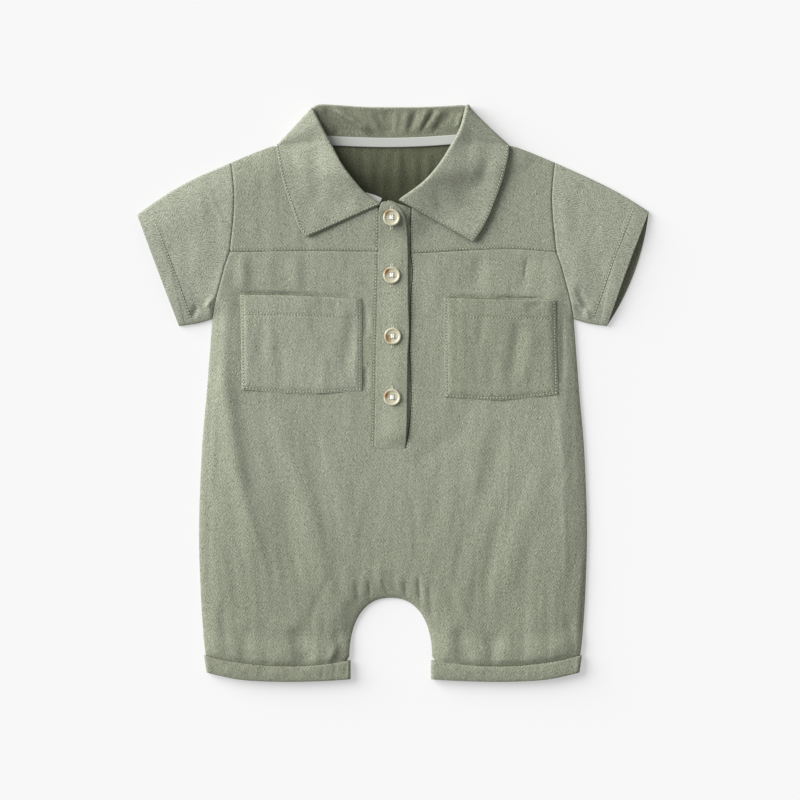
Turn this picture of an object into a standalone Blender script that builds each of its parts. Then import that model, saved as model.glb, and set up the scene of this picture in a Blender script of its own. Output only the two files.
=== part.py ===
"""A baby's short-legged romper with a shirt collar, laid flat on its back on a table.

X runs across the garment, Y from the leg cuffs up to the collar, and Z up from the table. Left and
right are as seen from above. The origin is on the table, under the middle of the garment. Lengths are
in metres, and the tables give them in millimetres.

Every cloth piece is a wall. A panel is cut to its outline, laid on the layers under it and given its
thickness upwards. Sleeves and cuffs are flattened tubes, made ring by ring. The collar is one strip
round the neck: each section runs from the outer edge of the fall over the fold and down the stand.
"""

import math

import bmesh
import bpy
import numpy as np
from mathutils import Vector
from mathutils.geometry import delaunay_2d_cdt

MM = 0.001

# ---------------------------------------------------------------- cloth and layers
CLOTH = 1.1 * MM  # thickness of one wall of cloth
SEAM = 0.3 * MM  # gap between pieces
LAYER = CLOTH + SEAM  # what one layer of cloth adds to the height
REST = 0.6 * MM  # gap under a piece that lies loosely on a creased panel
PITCH = 12 * MM  # spacing of the points inside a panel
FINE_PITCH = 5.5 * MM  # the same where the cloth is gathered
EDGE_STEP = 9 * MM  # spacing of the points along an outline

# ---------------------------------------------------------------- fullness of the laid garment
LOFT = 2.3 * MM  # how far the front stands off the back, away from the side seams
LOFT_REACH = 45 * MM  # distance from a side seam over which the front rises
NECK_RISE = 3.6 * MM  # how much higher the front neckline stands
NECK_REACH = 30 * MM  # distance over which that rise fades
LEAF_LIFT = 1.2 * MM  # how far the collar's outer edge springs off the yoke
RAMP = 14 * MM  # length over which the back climbs onto a layer under it
LEVEL = 9 * MM  # how far past that layer the back stays level

LEFT, RIGHT = -1, 1

# ---------------------------------------------------------------- outlines, (x, y) in mm
# Those of the right-hand side, mirrored for the left.
SHOULDER = [(59.4, 188.2), (88.2, 182.4), (98, 181.7), (110.3, 177.6), (121.5, 172.8)]
ARMHOLE_YOKE = [(121.5, 172.8), (119.8, 160), (119.0, 146), (119.8, 130), (121.2, 117), (122.5, 105.8)]
ARMHOLE_BODY = [(122.5, 105.8), (126, 95.5), (129.3, 83), (133, 69), (135.5, 55.5)]
ARMHOLE = ARMHOLE_YOKE + ARMHOLE_BODY[1:]
SIDE = [(135.5, 55.5), (139.6, 2), (143.4, -43), (145.5, -100), (144.3, -148), (142, -178)]
SIDE += [(140.6, -189), (136.2, -199), (135.4, -204)]
HEM = [(135.4, -204), (123, -207), (98.5, -210), (75, -211), (52, -209.8)]
SLEEVE_TOP = [(121.5, 172.8), (150.8, 160), (172, 147.8), (191.5, 134.2)]
SLEEVE_UNDER = [(135.5, 55.5), (147, 52.2), (160, 50.4)]
CUFF_TOP = [(141.6, -196.5), (123, -201), (98.5, -204.2), (75, -205), (52, -203.6)]
CUFF_BOTTOM = [(139.8, -208.8), (114.5, -214), (83, -215.6), (52, -215)]
CUFF_INNER_TOP_Y, CUFF_INNER_BOTTOM_Y, HEM_INNER_Y = -200.3 * MM, -213.7 * MM, -207 * MM
CUFF_OVERHANG = 1.0 * MM  # how far a cuff stands out past the inseam
CUFF_TUCK = 3.6 * MM  # how far the leg narrows inside its cuff

# The crotch is a superellipse between the legs.
CROTCH_X, CROTCH_TOP = -1.7 * MM, -153.4 * MM
CROTCH_HALF, CROTCH_DEEP, CROTCH_POWER = 31 * MM, 46.6 * MM, 2.3
CROTCH_FOOT = -199.5 * MM  # below this the leg is inside its cuff

# The right sleeve gapes: its lower layer shows past its upper one.
SLEEVE_GAPE = {LEFT: 0.8 * MM, RIGHT: 5.5 * MM}
SLEEVE_HEM_DIP = 0.6 * MM  # how far the sleeve hem's middle is drawn in

# The front neckline and the placket differ from side to side, so they carry their signs.
NECKLINE_BACK = [(0, 186.9), (38, 188.5), (56.4, 189.4), (59.4, 188.2)]
NECKLINE = {
    LEFT: [(-59.4, 188.2), (-58.6, 184), (-55.5, 176), (-48.2, 162.3), (-35.7, 151), (-23.5, 143.6)],
    RIGHT: [(59.4, 188.2), (58, 184), (54.2, 176), (46, 163.3), (35, 152.3), (24, 146)],
}
PLACKET_SEAM = {
    LEFT: [(-11.6, 107), (-11.9, 88), (-12.8, 47), (-14.4, -41.3)],
    RIGHT: [(13.9, 107), (13.9, 88), (13.8, 40), (12.5, 0), (9.6, -41.3)],
}
PLACKET_YOKE_SEAM = {
    LEFT: [(-13, 136), (-10.8, 130), (-11.6, 107)],
    RIGHT: [(14, 138), (13.9, 125), (13.9, 107)],
}
YOKE_SEAM_SAG = 0.8 * MM
STRIP_RIGHT = [(8.4, -40.9), (9.9, -20), (11.2, 47), (10.2, 88), (10.5, 122)]
STRIP_TOP = [(10.5, 122), (9.4, 130), (6.6, 136), (2.6, 140.2), (-2.4, 142.3), (-7.4, 141.2), (-10.2, 134)]
STRIP_SEWN = 6 * MM  # width over which the strip drops to its sewn edge
STRIP_YOKE_CORNER = (-11.2, 107)
STRIP_PITCH, STRIP_STEP = 8 * MM, 5 * MM
UNDERLAP_LEFT, UNDERLAP_BOTTOM, UNDERLAP_SHOULDER = -3.2 * MM, -27 * MM, 136 * MM
UNDERLAP_TOP = [(-4.6, 144.6), (0, 143.9), (3.2, 142.3), (13.6, 139)]

POCKETS = {
    # corner to corner: mouth left, mouth middle, mouth right, bottom right, bottom middle, bottom left
    LEFT: [(-114.2, 73.5), (-72, 72.9), (-23.2, 70.5), (-23.5, 1.9), (-68.7, 0.2), (-113.6, 4.6)],
    RIGHT: [(38.3, 71.4), (89.7, 69.8), (122, 69.6), (123.8, -0.9), (83.3, -5.1), (39, -3.2)],
}
POCKET_GAPE = 1.3 * MM  # how far the pocket's mouth stands open in its middle
POCKET_HALF = 42 * MM  # half the width that stands open
POCKET_PITCH = 9 * MM

TAPE_WIDTH = 7.2 * MM
TAPE_BACK = [(-51, 188.9), (-25, 187.5), (0, 187), (25, 187.8), (49, 189.6)]
TAPE_FRONT = [(-27, 156), (-17.5, 147.5), (-9.2, 142.2)]
TAPE_FRONT_WIDTH = 6.5 * MM
TAPE_PITCH, TAPE_STEP = 4 * MM, 5 * MM

# ---------------------------------------------------------------- collar sections, in mm
# fold: the visible edge beside the neck. edge: the outer edge of the fall. seam: the foot of the stand.
# bow: how far the fall's line bends out of the straight.
SECTION_COLUMNS = ("fold_x", "fold_y", "edge_x", "edge_y", "seam_x", "seam_y", "bow")
COLLAR_LEFT = [
    (-8.6, 142.4, -64.3, 117.4, -10.6, 141.6, 0.0),
    (-19.1, 150.3, -69.6, 123.0, -23.6, 145.0, 0.0),
    (-28.0, 158.2, -74.3, 134.5, -35.0, 151.8, 0.0),
    (-37.2, 170.1, -78.8, 147.0, -46.9, 163.0, 0.0),
    (-45.0, 184.5, -83.0, 161.0, -54.0, 177.2, 0.3),
    (-52.5, 198.5, -85.8, 175.0, -57.2, 186.0, 1.0),
]
COLLAR_RIGHT = [
    (4.0, 144.2, 61.6, 117.0, 5.6, 143.6, 0.0),
    (16.0, 152.4, 67.4, 123.6, 21.8, 147.2, 0.0),
    (26.0, 160.7, 72.8, 135.0, 34.0, 153.6, 0.0),
    (35.3, 171.9, 77.6, 147.5, 45.6, 164.4, 0.0),
    (43.1, 184.5, 82.4, 161.0, 53.2, 177.4, 0.2),
    (50.5, 198.5, 85.8, 175.0, 57.0, 186.2, 0.6),
]
COLLAR_CREASE = {
    LEFT: (-58.6, 215.4, -86.8, 182.6, -57.4, 190.6, 2.4),
    RIGHT: (54.4, 215.0, 86.3, 182.3, 57.0, 190.6, 1.0),
}
COLLAR_BACK = [
    (-42.0, 215.0, -62.0, 178.2, -40.0, 189.3, 0.0),
    (-21.0, 214.2, -31.0, 175.8, -20.0, 188.0, 0.0),
    (0.0, 213.8, 0.0, 175.0, 0.0, 187.6, 0.0),
    (21.0, 214.2, 31.0, 175.8, 20.0, 188.0, 0.0),
    (42.0, 214.8, 62.0, 178.2, 40.0, 189.3, 0.0),
]
CREASE_TURNS = 4  # steps round the fold at each side of the neck
FALL_STEPS, BEND_STEPS, STAND_STEPS = 6, 4, 4
SIDE_CREASE = {
    LEFT: [(-60, 216.9), (-72.6, 200), (-80.3, 192.4), (-88.1, 186.4)],
    RIGHT: [(56.4, 216.7), (66.8, 205.6), (78.2, 194.6), (88.2, 186.0)],
}

# ---------------------------------------------------------------- creases and gathers, in mm
# Each row is one soft ridge, or a trough where the height is negative.
FOLD_COLUMNS = ("from_x", "from_y", "to_x", "to_y", "width", "height")
FRONT_FOLDS = [
    # sleeves
    (-130, 66, -153, 118, 8, 1.1), (-142, 58, -172, 96, 7, 0.9), (-128, 90, -140, 140, 9, -0.8),
    (132, 66, 150, 122, 8, 1.1), (144, 58, 170, 98, 7, 0.8), (124, 160, 142, 84, 8, -0.8),
    # chest and sides
    (-118, 98, -112, 40, 6, -1.0), (-100, 104, -96, 76, 7, 0.8), (-52, 100, -44, 60, 8, 0.7),
    (30, 100, 34, 20, 7, 0.7), (84, 104, 92, 56, 8, -0.9), (112, 98, 118, 30, 7, 0.8),
    (-36, 66, -48, 14, 9, -0.9), (88, 62, 74, 4, 9, -1.0),
    # belly
    (-96, -10, -104, -96, 9, 0.8), (-62, -20, -54, -118, 10, -0.8), (-24, -50, -38, -140, 9, 0.8),
    (28, -20, 40, -120, 10, 0.8), (66, -24, 58, -112, 9, -0.8), (104, -14, 98, -110, 10, 0.8),
    (-126, 20, -130, -90, 8, 0.7), (124, 10, 130, -84, 8, -0.6),
    # puckers that spread from the crotch
    (-34, -176, -52, -120, 5.5, 1.1), (-27, -163, -38, -118, 4.5, -1.0), (-19, -156, -24, -116, 4.5, 1.0),
    (-9, -153, -12, -118, 4, -0.9), (0, -152, 2, -116, 4.5, 0.9), (9, -153, 14, -118, 4, -0.9),
    (18, -157, 27, -116, 4.5, 1.0), (25, -164, 40, -118, 4.5, -1.0), (31, -178, 52, -122, 5.5, 1.1),
    # gathers above the left cuff
    (-131, -201, -133, -160, 4.5, 1.0), (-121, -204, -123, -150, 4.5, -1.1),
    (-110, -206, -111, -164, 4.5, 1.0), (-98, -207, -100, -158, 4.5, -0.9), (-86, -208, -85, -166, 5, 0.9),
    (-74, -208, -74, -172, 4.5, -0.9),
    (-62, -207, -58, -162, 4.5, 1.1), (-51, -206, -48, -172, 4, -1.0), (-41, -205, -36, -176, 4, 1.0),
    # gathers above the right cuff
    (130, -200, 132, -162, 4.5, 1.0), (119, -204, 121, -158, 4.5, -0.9), (107, -206, 107, -168, 4.5, 0.9),
    (96, -207, 94, -154, 5, -1.1), (83, -208, 82, -170, 5, 0.9), (70, -208, 70, -160, 4.5, -0.9),
    (58, -207, 54, -168, 5, 1.0), (46, -206, 42, -172, 4, -0.9), (37, -204, 33, -180, 4, 0.9),
]
BACK_FOLDS = [
    # soft gathers under the neck tape, seen through the neck opening
    (-38, 186, -34, 150, 3.4, 0.9), (-28, 186, -25, 138, 3.2, 0.7), (-17, 186, -17, 144, 3.4, 1.0),
    (-6, 186, -8, 134, 3.2, 0.7), (5, 186, 4, 144, 3.4, 0.9), (16, 186, 18, 138, 3.2, 0.8),
    (27, 186, 26, 146, 3.4, 1.0), (37, 186, 35, 156, 3.2, 0.7),
]
STAND_FOLDS = [
    # creases on the inside of the collar
    (-50, 213, -33, 194, 3.2, 0.8), (-38, 214, -20, 193, 3.0, 0.6), (-10, 213, -6, 192, 3.2, 0.5),
    (14, 213, 8, 192, 3.0, 0.6), (32, 214, 18, 192, 3.2, 0.8), (46, 214, 34, 195, 3.0, 0.7),
]

# ---------------------------------------------------------------- buttons, in mm
BUTTON_RADIUS, BUTTON_THICK, BUTTON_DISH = 6.4 * MM, 2.2 * MM, 0.7 * MM
BUTTON_RIM = 1.5 * MM
BUTTON_HOLE_RADIUS, BUTTON_HOLE_PITCH = 0.65 * MM, 2.8 * MM
BUTTON_SIDES, HOLE_SIDES = 28, 8
BUTTON_PLACES = [(-1.0, 131.2), (-0.9, 88.3), (-0.2, 42.7), (-0.6, -3.1)]

SAGE, TAPE_WHITE, HORN = (0.30, 0.32, 0.25, 1), (0.72, 0.73, 0.70, 1), (0.62, 0.55, 0.43, 1)


# ---------------------------------------------------------------- plane geometry
def mirrored(points, side):
    """A right-hand outline on the given side, in metres."""
    return np.array(points, float) * (side * MM, MM)


def smooth(t):
    t = np.clip(t, 0, 1)
    return t * t * (3 - 2 * t)


def spline(points, step=EDGE_STEP):
    """Points about one step apart on a smooth curve through the given ones."""
    points = np.array(points, float)
    ends = np.vstack([2 * points[0] - points[1], points, 2 * points[-1] - points[-2]])
    found = []
    for a, b, c, d in zip(ends, ends[1:], ends[2:], ends[3:]):
        count = max(1, round(float(np.linalg.norm(c - b)) / step))
        for t in np.arange(count) / count:
            found.append(0.5 * ((2 * b) + (c - a) * t + (2 * a - 5 * b + 4 * c - d) * t**2
                                + (3 * b - a - 3 * c + d) * t**3))
    return np.array(found + [points[-1]])


def table_line(points, step=EDGE_STEP):
    """A smooth curve through a table's points, in metres."""
    return spline(np.array(points, float) * MM, step)


def closed_loop(*edges):
    """One loop, anticlockwise, from edges that follow each other."""
    loop = np.vstack([edge[:-1] for edge in edges])
    x, y = loop.T
    area = np.sum(x * np.roll(y, -1) - y * np.roll(x, -1))
    return loop if area > 0 else loop[::-1]


def inset(loop, distance):
    """The loop moved inwards, its corners mitred."""
    before, after = loop - np.roll(loop, 1, 0), np.roll(loop, -1, 0) - loop
    before, after = (v / np.linalg.norm(v, axis=1)[:, None] for v in (before, after))
    normals = [np.stack([-v[:, 1], v[:, 0]], 1) for v in (before, after)]
    middle = normals[0] + normals[1]
    middle /= np.linalg.norm(middle, axis=1)[:, None]
    cosine = np.clip(np.sum(middle * normals[0], 1), 0.5, 1)
    return loop + middle * (distance / cosine)[:, None]


def distance_to(x, y, line):
    """Distance from each point to an open line."""
    point = np.stack([x, y], -1)[..., None, :]
    start, along = line[:-1], np.diff(line, axis=0)
    share = np.sum((point - start) * along, -1) / np.sum(along * along, -1)
    nearest = start + np.clip(share, 0, 1)[..., None] * along
    return np.linalg.norm(point - nearest, axis=-1).min(-1)


def is_inside(x, y, loop):
    a, b = loop, np.roll(loop, -1, 0)
    x, y = x[..., None], y[..., None]
    spans = (a[:, 1] > y) != (b[:, 1] > y)
    rise = np.where(b[:, 1] == a[:, 1], 1, b[:, 1] - a[:, 1])
    crossing = a[:, 0] + (y - a[:, 1]) * (b[:, 0] - a[:, 0]) / rise
    return (spans & (x < crossing)).sum(-1) % 2 == 1


def outside_by(x, y, loop):
    """How far each point lies outside a loop, and 0 inside it."""
    distance = distance_to(x, y, np.vstack([loop, loop[:1]]))
    return np.where(is_inside(x, y, loop), 0, distance)


def crotch():
    """The edge between the legs, from the left hem up and over to the right hem."""
    turns = np.linspace(0, math.pi / 2, 15)
    x = CROTCH_HALF * np.cos(turns) ** (2 / CROTCH_POWER)
    y = CROTCH_TOP - CROTCH_DEEP * (1 - np.sin(turns) ** (2 / CROTCH_POWER))
    right = np.stack([CROTCH_X + x, y], 1)
    left = np.stack([CROTCH_X - x, y], 1)[1:]
    right = right[1:]
    inner = CROTCH_HALF + CUFF_TUCK
    heights = (HEM_INNER_Y, CROTCH_FOOT)
    foot = [[(CROTCH_X + side * inner, height) for height in heights] for side in (LEFT, RIGHT)]
    return np.vstack([foot[0], left, right[-2::-1], foot[1][::-1]])


def hem(side):
    """The foot of a leg panel, from the side seam to the inseam."""
    return spline([*mirrored(HEM, side), (CROTCH_X + side * (CROTCH_HALF + CUFF_TUCK), HEM_INNER_Y)])


# ---------------------------------------------------------------- heights of the layers
def under_fall():
    """The part of the collar that lies on the table, under the back."""
    rows = [COLLAR_CREASE[LEFT], *COLLAR_BACK, COLLAR_CREASE[RIGHT]]
    fold = [(row[0], row[1]) for row in rows]
    edge = [(row[2], row[3]) for row in rows]
    return np.array(fold[::-1] + edge, float) * MM


def cuff_outline(side):
    inner = CROTCH_X + side * (CROTCH_HALF - CUFF_OVERHANG)
    top = [*mirrored(CUFF_TOP, side), (inner, CUFF_INNER_TOP_Y)]
    bottom = [*mirrored(CUFF_BOTTOM, side), (inner, CUFF_INNER_BOTTOM_Y)]
    return np.array(top), np.array(bottom)


def neck_hole():
    left = [(row[0], row[1]) for row in [*COLLAR_LEFT, COLLAR_CREASE[LEFT]]]
    right = [(row[0], row[1]) for row in [*COLLAR_RIGHT, COLLAR_CREASE[RIGHT]]]
    return np.array(left + right[::-1], float) * MM


UNDER_FALL, NECK_HOLE = under_fall(), neck_hole()
CUFF_ZONES = [np.vstack([top, bottom[::-1]]) for top, bottom in map(cuff_outline, (LEFT, RIGHT))]
CREASED_EDGES = [crotch()] + [
    np.vstack([mirrored(SHOULDER, side), mirrored(SLEEVE_TOP, side)[1:]]) for side in (LEFT, RIGHT)
] + [
    np.vstack([mirrored(SLEEVE_UNDER, side)[::-1], mirrored(SIDE, side)[1:]]) for side in (LEFT, RIGHT)
] + [np.array(SIDE_CREASE[side], float) * MM for side in (LEFT, RIGHT)]


def folds(x, y, rows):
    """Summed height of the soft ridges and troughs."""
    total = np.zeros_like(x)
    for row in rows:
        fold = dict(zip(FOLD_COLUMNS, np.array(row, float) * MM))
        start = np.array([fold["from_x"], fold["from_y"]])
        along = np.array([fold["to_x"], fold["to_y"]]) - start
        share = ((x - start[0]) * along[0] + (y - start[1]) * along[1]) / (along @ along)
        across = ((x - start[0]) * along[1] - (y - start[1]) * along[0]) / np.linalg.norm(along)
        ends = smooth(share / 0.3) * smooth((1 - share) / 0.3)
        total += fold["height"] * ends * np.exp(-((across / fold["width"]) ** 2))
    return total


def back_lift(x, y):
    """Height of the underside of the back: it climbs onto the collar's fall and into the cuffs."""
    zones = [outside_by(x, y, zone) for zone in [UNDER_FALL, *CUFF_ZONES]]
    return LAYER * (1 - smooth((np.min(zones, 0) - LEVEL) / RAMP))


def edge_fade(x, y, reach=LOFT_REACH):
    """0 on the side seams and other closed edges, 1 away from them."""
    distance = np.min([distance_to(x, y, line) for line in CREASED_EDGES], 0)
    return 1 - (1 - np.clip(distance / reach, 0, 1)) ** 2


def front_under(x, y):
    """Height of the underside of the front, sleeves and yokes."""
    near_neck = 1 - smooth((outside_by(x, y, NECK_HOLE) - 4 * MM) / NECK_REACH)
    rise = near_neck * (LAYER + NECK_RISE * smooth((186 * MM - y) / (26 * MM)))
    full = LOFT * edge_fade(x, y) + folds(x, y, FRONT_FOLDS) * edge_fade(x, y, 14 * MM)
    cuffs = np.min([outside_by(x, y, zone) for zone in CUFF_ZONES], 0)
    full = full * (0.35 + 0.65 * smooth(cuffs / (12 * MM)))
    return back_lift(x, y) + LAYER + rise + np.maximum(full, 0)


def back_under(x, y):
    return back_lift(x, y) + folds(x, y, BACK_FOLDS)


def pocket_under(x, y):
    mouth, low = POCKETS[LEFT][1][1] * MM, POCKETS[LEFT][4][1] * MM
    middle = [(row[1][0] * MM) for row in (POCKETS[LEFT], POCKETS[RIGHT])]
    centred = np.max([1 - ((x - m) / POCKET_HALF) ** 2 for m in middle], 0)
    gape = POCKET_GAPE * np.clip(centred, 0, 1) * smooth((y - low) / (mouth - low) * 1.6 - 0.6)
    return front_under(x, y) + CLOTH + REST + gape


def strip_under(x, y):
    """The button strip lies on the underlap, and drops to the front where it is sewn to it."""
    seam = table_line(PLACKET_SEAM[LEFT])
    left = np.interp(y, seam[::-1, 1], seam[::-1, 0])
    free = np.maximum(smooth((x - left) / STRIP_SEWN), smooth((y - 132 * MM) / (6 * MM)))
    foot = PLACKET_SEAM[LEFT][-1][1] * MM
    return front_under(x, y) + (CLOTH + REST) * free * smooth((y - foot) / (12 * MM))


def leaf_under(x, y, share):
    """Height of the underside of the collar's fall on the front, at a share of its way out."""
    return front_under(x, y) + CLOTH + REST + LEAF_LIFT * smooth(share)


# ---------------------------------------------------------------- objects
def material(name, colour, roughness):
    made = bpy.data.materials.new(name)
    made.use_nodes = True
    shader = made.node_tree.nodes["Principled BSDF"]
    shader.inputs["Base Color"].default_value = colour
    shader.inputs["Roughness"].default_value = roughness
    return made


def keep(name, mesh, surface):
    """A finished piece, hung on the garment's empty."""
    mesh.shade_smooth()
    mesh.set_sharp_from_angle(angle=math.radians(50))
    mesh.materials.append(surface)
    piece = bpy.data.objects.new(name, mesh)
    GARMENT.objects.link(piece)
    piece.parent = ROMPER
    return piece


def mesh_of(name, bm):
    bmesh.ops.recalc_face_normals(bm, faces=bm.faces)
    mesh = bpy.data.meshes.new(name)
    bm.to_mesh(mesh)
    bm.free()
    return mesh


def lattice(loop, pitch):
    """Points of a triangular lattice inside a loop, half a pitch clear of its edge."""
    low, high = loop.min(0), loop.max(0)
    row_height = pitch * math.sqrt(3) / 2
    found = []
    for row in range(math.floor(low[1] / row_height), math.ceil(high[1] / row_height) + 1):
        x = np.arange(math.floor(low[0] / pitch), math.ceil(high[0] / pitch) + 1) * pitch
        found.append(np.stack([x + pitch / 2 * (row % 2), np.full_like(x, row * row_height)], 1))
    found = np.vstack(found)
    clear = distance_to(found[:, 0], found[:, 1], np.vstack([loop, loop[:1]])) > pitch / 2
    return found[clear & is_inside(found[:, 0], found[:, 1], loop)]


def gathered(points):
    """Which points lie where the front is gathered: above the cuffs and round the crotch."""
    x, y = points.T
    return (y < -158 * MM) | ((np.abs(x - CROTCH_X) < 46 * MM) & (y < -112 * MM))


def panel(name, loop, under, surface, pitch=PITCH, fine=None):
    """A wall of cloth cut to a loop, its underside at the height that under gives."""
    loop = inset(loop, SEAM / 2)
    inner = lattice(loop, pitch)
    if fine:
        close = lattice(loop, FINE_PITCH)
        inner = np.vstack([inner[~fine(inner)], close[fine(close)]])
    points = [Vector(p) for p in np.vstack([loop, inner])]
    flat, _, faces, *_ = delaunay_2d_cdt(points, [], [list(range(len(loop)))], 1, 1e-7)
    flat = np.array(flat)
    height = under(flat[:, 0], flat[:, 1])
    bm = bmesh.new()
    corners = [bm.verts.new((x, y, z)) for (x, y), z in zip(flat, height)]
    sheet = [bm.faces.new([corners[i] for i in face]) for face in faces]
    top = bmesh.ops.extrude_face_region(bm, geom=sheet, use_keep_orig=True)
    raised = [item for item in top["geom"] if isinstance(item, bmesh.types.BMVert)]
    bmesh.ops.translate(bm, verts=raised, vec=(0, 0, CLOTH))
    return keep(name, mesh_of(name, bm), surface)


def skin(bm, rings, closed):
    """Faces between rings of points that follow each other. Returns the rings' vertices."""
    grid = [[bm.verts.new(p) for p in ring] for ring in rings]
    last = 0 if closed else 1
    for ring, following in zip(grid, grid[1:]):
        for i in range(len(ring) - last):
            j = (i + 1) % len(ring)
            bm.faces.new([ring[i], ring[j], following[j], following[i]])
    return grid


def bridge(bm, outer, inner, closed):
    last = 0 if closed else 1
    for i in range(len(outer) - last):
        j = (i + 1) % len(outer)
        bm.faces.new([outer[i], inner[i], inner[j], outer[j]])


def tube(name, outer_rings, inner_rings, surface):
    """An open tube with a wall, from its outer and inner rings."""
    bm = bmesh.new()
    outer, inner = (skin(bm, rings, True) for rings in (outer_rings, inner_rings))
    bridge(bm, outer[0], inner[0], True)
    bridge(bm, outer[-1], inner[-1], True)
    return keep(name, mesh_of(name, bm), surface)


SLEEVE_RINGS, CUFF_RINGS = 10, 3
TIP_SHARES = np.array([0.008, 0.028])  # extra points beside each tip of a flattened ring
TIP_SHARPNESS = 3.6  # the layers are parted fully by the second of them
UPPER_POINTS, LOWER_POINTS = 11, 6  # points of each layer between its tips
UPPER_SHARES = np.linspace(0.09, 0.91, UPPER_POINTS)
UPPER_SHARES = np.concatenate([[0], TIP_SHARES, UPPER_SHARES, 1 - TIP_SHARES[::-1], [1]])
LOWER_SHARES = np.linspace(0.91, 0.09, LOWER_POINTS)
LOWER_SHARES = np.concatenate([1 - TIP_SHARES, LOWER_SHARES, TIP_SHARES[::-1]])


def at_share(line, share):
    """The point at a share of a line's length."""
    steps = np.linalg.norm(np.diff(line, axis=0), axis=1)
    travelled = np.concatenate([[0], np.cumsum(steps)]) / steps.sum()
    return np.stack([np.interp(share, travelled, line[:, k]) for k in (0, 1)], -1)


def flattened_rings(lines, ring_count, edge_in, top_of, bottom, gape=0.0):
    """Rings of a flattened tube, edge_in narrower at both sides.

    lines are the tube's start, its end and its two sides. top_of gives the height of a ring's upper
    layer, and bottom is that of its lower layer."""
    start, end, upper, lower = lines
    outwards = end[len(end) // 2] - start[len(start) // 2]
    outwards = outwards / np.linalg.norm(outwards)
    rings = []
    for s in np.linspace(0, 1, ring_count):
        def plan(w):
            a, b = at_share(start, w), at_share(end, w)
            u, v = at_share(upper, s), at_share(lower, s)
            w = w[:, None]
            straight_start = (1 - w) * start[0] + w * start[-1]
            straight_end = (1 - w) * end[0] + w * end[-1]
            return (1 - s) * (a - straight_start) + s * (b - straight_end) + (1 - w) * u + w * v

        def layer(shares, sign, shift=0.0):
            """One layer's points: it meets the other at the tips, in a round."""
            w = edge_in / width + shares * (1 - 2 * edge_in / width)
            at = plan(w)
            high = top_of(at[:, 0], at[:, 1])
            round_off = np.minimum(np.sqrt(np.sin(np.pi * shares).clip(0)) * TIP_SHARPNESS, 1)
            moved = at + outwards * (shift * s**3 * 4 * shares * (1 - shares))[:, None]
            half = (high - bottom) / 2
            return np.column_stack([moved, bottom + half + sign * half * round_off])

        width = np.linalg.norm(plan(np.array([0.0])) - plan(np.array([1.0])))
        rings.append(np.vstack([layer(UPPER_SHARES, 1), layer(LOWER_SHARES, -1, gape)]))
    return rings


# ---------------------------------------------------------------- pieces of the garment
def make_back(surface):
    edges = [spline(mirrored(NECKLINE_BACK, RIGHT))]
    edges += [spline(mirrored(points, RIGHT)) for points in (SHOULDER, ARMHOLE, SIDE)]
    edges += [hem(RIGHT), crotch()[::-1], hem(LEFT)[::-1]]
    mirror = (SIDE, ARMHOLE, SHOULDER, NECKLINE_BACK)
    edges += [spline(mirrored(points, LEFT))[::-1] for points in mirror]

    def seen_in_neck(points):
        return (np.abs(points[:, 0]) < 48 * MM) & (points[:, 1] > 132 * MM)

    panel("back", closed_loop(*edges), back_under, surface, 16 * MM, seen_in_neck)


def yoke_seam(side):
    """The seam between a yoke and the front, from the placket to the armhole."""
    inner = np.array(PLACKET_SEAM[side][0], float) * MM
    outer = mirrored(ARMHOLE_BODY, side)[0]
    middle = (inner + outer) / 2 - (0, YOKE_SEAM_SAG)
    return spline([inner, middle, outer])


def make_yoke(side, name, surface):
    armhole = spline(mirrored(ARMHOLE_YOKE, side))
    neckline = table_line(NECKLINE[side] + PLACKET_YOKE_SEAM[side][:1])
    placket = table_line(PLACKET_YOKE_SEAM[side])
    shoulder = spline(mirrored(SHOULDER, side))
    loop = closed_loop(neckline, placket, yoke_seam(side), armhole[::-1], shoulder[::-1])
    panel(name, loop, front_under, surface)


def make_front(surface):
    slit = [table_line(PLACKET_SEAM[side]) for side in (LEFT, RIGHT)]
    edges = [yoke_seam(LEFT)[::-1], slit[0], np.vstack([slit[0][-1], slit[1][-1]]), slit[1][::-1]]
    edges += [yoke_seam(RIGHT)]
    edges += [spline(mirrored(points, RIGHT)) for points in (ARMHOLE_BODY, SIDE)]
    edges += [hem(RIGHT), crotch()[::-1], hem(LEFT)[::-1]]
    edges += [spline(mirrored(points, LEFT))[::-1] for points in (SIDE, ARMHOLE_BODY)]
    panel("front", closed_loop(*edges), front_under, surface, fine=gathered)


def make_sleeve(side, name, surface):
    armhole = spline(mirrored(ARMHOLE, side))
    armhole = armhole + (side * SEAM, 0)
    top, under = (spline(mirrored(points, side)) for points in (SLEEVE_TOP, SLEEVE_UNDER))
    top[0], under[0] = armhole[0], armhole[-1]
    opening = spline([top[-1], (top[-1] + under[-1]) / 2 - (side * SLEEVE_HEM_DIP, 0), under[-1]])
    gape = SLEEVE_GAPE[side]
    lines = (armhole, opening, top, under)
    outer = flattened_rings(lines, SLEEVE_RINGS, 0, lambda x, y: front_under(x, y) + CLOTH, 0, gape)
    inner = flattened_rings(lines, SLEEVE_RINGS, CLOTH, front_under, CLOTH, gape)
    tube(name, outer, inner, surface)


def make_cuff(side, name, surface):
    top, bottom = (spline(line) for line in cuff_outline(side))
    outer_end, inner_end = (np.array([top[k], bottom[k]]) for k in (0, -1))
    levels = {
        "outer": (0, lambda x, y: front_under(x, y) + LAYER + CLOTH, 0),
        "inner": (CLOTH, lambda x, y: front_under(x, y) + LAYER, CLOTH),
    }
    rings = {
        key: flattened_rings((top, bottom, outer_end, inner_end), CUFF_RINGS, edge_in, top_of, low)
        for key, (edge_in, top_of, low) in levels.items()
    }
    tube(name, rings["outer"], rings["inner"], surface)


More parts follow.
